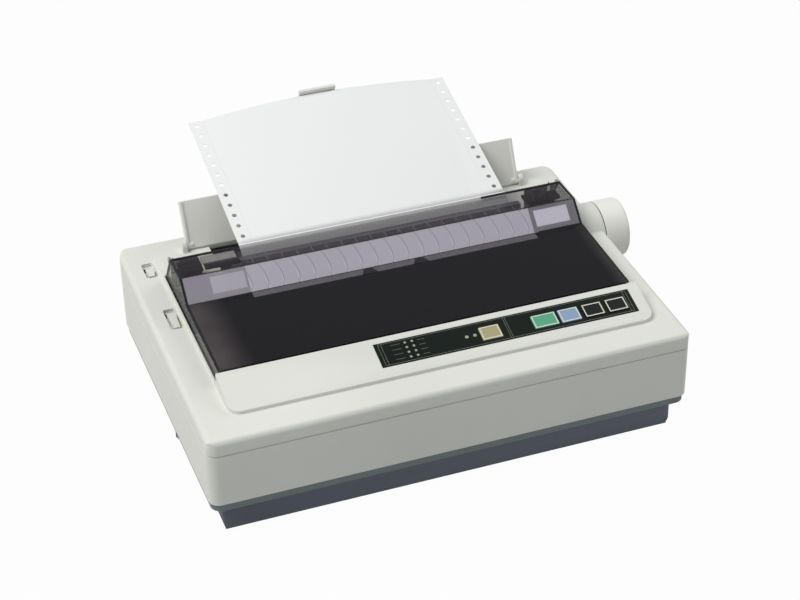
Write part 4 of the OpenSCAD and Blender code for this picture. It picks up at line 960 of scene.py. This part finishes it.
class BuildSlotShadePlates(Operator):
    """Black plates of painted shade inside and beside the two lever slots in the left deck"""

    bl_idname = "printer.build_slot_liners"
    bl_label = "Build the slot liners"

    def execute(self, context):
        bm = bmesh.new()
        # black walls inside each slot and black plates on the recess floor beside and behind it: painted
        # shade
        for y0, y1, rear, floor in LEVER_SLOTS:
            top = floor + 0.25
            for x in (-2.0, 1.8):
                block(bm, (LEVER_X + x, y0, floor - 3), (LEVER_X + x + 0.2, y1, top))
            block(bm, (LEVER_X - 1.9, y1 - 0.2, floor - 3.1), (LEVER_X + 1.9, y1 + 0.1, top - 0.02))
            block(bm, (LEVER_X - 4.2, rear, floor - 0.1), (LEVER_X - 1.95, y1 + 0.8, top - 0.04))
            block(bm, (LEVER_X - 4.3, y1 + 0.05, floor - 0.12), (LEVER_X + 2.2, y1 + 1.2, top - 0.06))
        to_object("slot_liners", settle(bm), "case", finish_of("ribbon_cassette"), False)
        return {"FINISHED"}


class BuildHinges(Operator):
    """Black hinge brackets on the deck behind the cover"""

    bl_idname = "printer.build_hinges"
    bl_label = "Build the hinge brackets"

    def execute(self, context):
        bm = bmesh.new()
        gap = COVER_WALL + 1.7
        left, right = COVER_SIDES[0] + gap, COVER_SIDES[1] - gap
        for x in (left, right - BRACKET_WIDTH):
            block(bm, (x, HINGE_Y - 2.9, 104), (x + BRACKET_WIDTH, HINGE_Y + 11.5, 122.5), 0.8)
        to_object("hinge_brackets", settle(bm), "case", finish_of("ribbon_cassette"))
        return {"FINISHED"}


class BuildScrews(Operator):
    """Screws of the case, the side frames, the carriage motor and the mains inlet"""

    bl_idname = "printer.build_screws"
    bl_label = "Build the screws"

    def execute(self, context):
        steel = brushed("screw_steel", (0.55, 0.55, 0.56), "X", 0.3)
        bm = bmesh.new()
        for xs, ys, zs, way, radius, height in SCREWS:
            for at in itertools.product(xs, ys, zs):
                screw(bm, at, way, radius, height)
        to_object("case_screws", settle(bm), "case", steel, False)
        return {"FINISHED"}


class BuildPorts(Operator):
    """Contacts and latches of the data port, and pins of the mains inlet"""

    bl_idname = "printer.build_ports"
    bl_label = "Build the ports"

    def execute(self, context):
        gold = brushed("contact_gold", (0.75, 0.55, 0.22), "Y", 0.25)
        low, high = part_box("parallel_connector")
        middle = (low + high) / 2 / MM
        bm = bmesh.new()
        x0, y1 = middle.x, high.y / MM
        block(bm, (x0 - 25, y1 - 10, middle.z - 1.4), (x0 + 25, y1 - 2.5, middle.z + 1.4), 0.3, 2)
        to_object("port_insert", bm, "case", finish_of("ribbon_cassette"))
        bm = bmesh.new()
        for k in range(PORT_CONTACTS):
            for side in (-1, 1):
                x = x0 - 21.6 + k * PORT_PITCH
                z = middle.z + side * 1.45
                block(bm, (x - 0.5, y1 - 9.5, z - 0.15), (x + 0.5, y1 - 3.0, z + 0.15))
        to_object("port_contacts", bm, "case", gold, False)
        bm = bmesh.new()
        for side in (-1, 1):
            x = x0 + side * 32.5
            for dz in (-5.5, 5.5):
                rod(bm, (x, y1 - 5.4, middle.z + dz), (x, y1 - 0.6, middle.z + dz * 0.75), 0.6, 12)
            rod(bm, (x, y1 - 0.6, middle.z - 4.2), (x, y1 - 0.6, middle.z + 4.2), 0.6, 12)
        to_object("port_latches", bm, "case", finish_of("parallel_connector"))
        low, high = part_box("power_inlet")
        middle = (low + high) / 2 / MM
        bm = bmesh.new()
        for dx, dz in ((-5.5, -2.2), (5.5, -2.2), (0, 2.6)):
            x, z = middle.x + dx, middle.z + dz
            block(bm, (x - 0.9, high.y / MM - 17, z - 2), (x + 0.9, high.y / MM - 5.5, z + 2), 0.3, 2)
        to_object("inlet_pins", bm, "case", finish_of("parallel_connector"))
        return {"FINISHED"}


class BuildStage(Operator):
    """Floor, soft studio light and the camera"""

    bl_idname = "printer.build_stage"
    bl_label = "Build the stage"

    def execute(self, context):
        scene = context.scene
        s = scene.printer_stage
        bm = bmesh.new()
        below = Matrix.Translation((0, 0, -FLOOR_DROP))
        bmesh.ops.create_grid(bm, x_segments=1, y_segments=1, size=FLOOR_HALF, matrix=below)
        mesh = bpy.data.meshes.new("floor")
        bm.to_mesh(mesh)
        bm.free()
        floor = bpy.data.objects.new("floor", mesh)
        scene.collection.objects.link(floor)
        f = Finish("floor_white")
        seen = f.add("ShaderNodeLightPath", out="Is Camera Ray")
        for ray in ("Is Glossy Ray", "Is Transmission Ray"):
            seen = seen + f.add("ShaderNodeLightPath", out=ray)
        f.set(Base_Color=FLOOR_GREY, Roughness=0.9)
        glow = f.add("ShaderNodeEmission", None, {"Color": (1, 1, 1), "Strength": 1.0})
        own = Wire(f, f.shader.outputs[0])
        mix = f.add("ShaderNodeMixShader", None, [seen * WHITE_SHARE, own, glow])
        f.feed(f.output.inputs["Surface"], mix)
        mesh.materials.append(f.material)

        world = scene.world or bpy.data.worlds.new("studio")
        scene.world = world
        world.use_nodes = True
        air = Graph(world.node_tree)
        air.tree.nodes.clear()
        rays = [air.add("ShaderNodeLightPath", out=ray) for ray in ("Is Camera Ray", "Is Transmission Ray")]
        share = air.add("ShaderNodeMath", {"operation": "ADD", "use_clamp": True}, rays)
        even = air.add("ShaderNodeBackground", None, {"Color": SKY_COLOUR, "Strength": s.sky})
        white = air.add("ShaderNodeBackground", None, {"Color": (WHITE_SHARE,) * 3, "Strength": 1.0})
        mixed = air.add("ShaderNodeMixShader", None, [share, even, white])
        sink = air.tree.nodes.new("ShaderNodeOutputWorld")
        air.feed(sink.inputs["Surface"], mixed)

        for name, (at, size), power in (("key", KEY_LAMP, s.key_light), ("fill", FILL_LAMP, s.fill_light)):
            lamp = bpy.data.lights.new(name, "AREA")
            lamp.shape = "DISK"
            lamp.size = size
            lamp.energy = power
            lamp.color = LAMP_COLOUR
            lamp_object = bpy.data.objects.new(name, lamp)
            lamp_object.location = at
            lamp_object.rotation_euler = (LAMP_AIM - Vector(at)).to_track_quat("-Z", "Y").to_euler()
            scene.collection.objects.link(lamp_object)

        camera = bpy.data.cameras.new("view")
        camera.lens = s.lens
        camera.sensor_width = SENSOR_WIDTH
        camera_object = bpy.data.objects.new("view", camera)
        turn = Matrix((CAMERA_RIGHT, CAMERA_UP, CAMERA_RIGHT.cross(CAMERA_UP))).transposed().to_4x4()
        camera_object.matrix_world = Matrix.Translation(CAMERA_AT) @ turn
        scene.collection.objects.link(camera_object)
        scene.camera = camera_object
        scene.view_settings.view_transform = "Standard"
        return {"FINISHED"}


class PrinterPanel(Panel):
    """Pieces of the printer"""

    bl_idname = "VIEW3D_PT_printer"
    bl_label = "Printer"
    bl_space_type = "VIEW_3D"
    bl_region_type = "UI"
    bl_category = "Printer"

    def draw(self, context):
        column = self.layout.column()
        for step in STEPS:
            column.operator(step.bl_idname)
        for name in PrinterColours.__annotations__:
            column.prop(context.scene.printer_colours, name)
        for name in PrinterSizes.__annotations__:
            column.prop(context.scene.printer_sizes, name)
        for name in PrinterStage.__annotations__:
            column.prop(context.scene.printer_stage, name)


STEPS = (
    BuildStage,
    DressNodes,
    RefineNodes,
    BuildPaper,
    BuildKeys,
    BuildPanelLines,
    BuildCoverTrim,
    BuildKnob,
    BuildSlotShadePlates,
    BuildHinges,
    BuildScrews,
    BuildPorts,
)
CLASSES = (PrinterColours, PrinterSizes, PrinterStage, *STEPS, PrinterPanel)


def register():
    for one in CLASSES:
        bpy.utils.register_class(one)
    bpy.types.Scene.printer_colours = PointerProperty(type=PrinterColours)
    bpy.types.Scene.printer_sizes = PointerProperty(type=PrinterSizes)
    bpy.types.Scene.printer_stage = PointerProperty(type=PrinterStage)


def unregister():
    del bpy.types.Scene.printer_stage
    del bpy.types.Scene.printer_sizes
    del bpy.types.Scene.printer_colours
    for one in reversed(CLASSES):
        bpy.utils.unregister_class(one)


def main():
    register()
    for step in STEPS:
        group, action = step.bl_idname.split(".")
        getattr(getattr(bpy.ops, group), action)()
    bpy.context.view_layer.update()


if __name__ == "__main__":
    main()
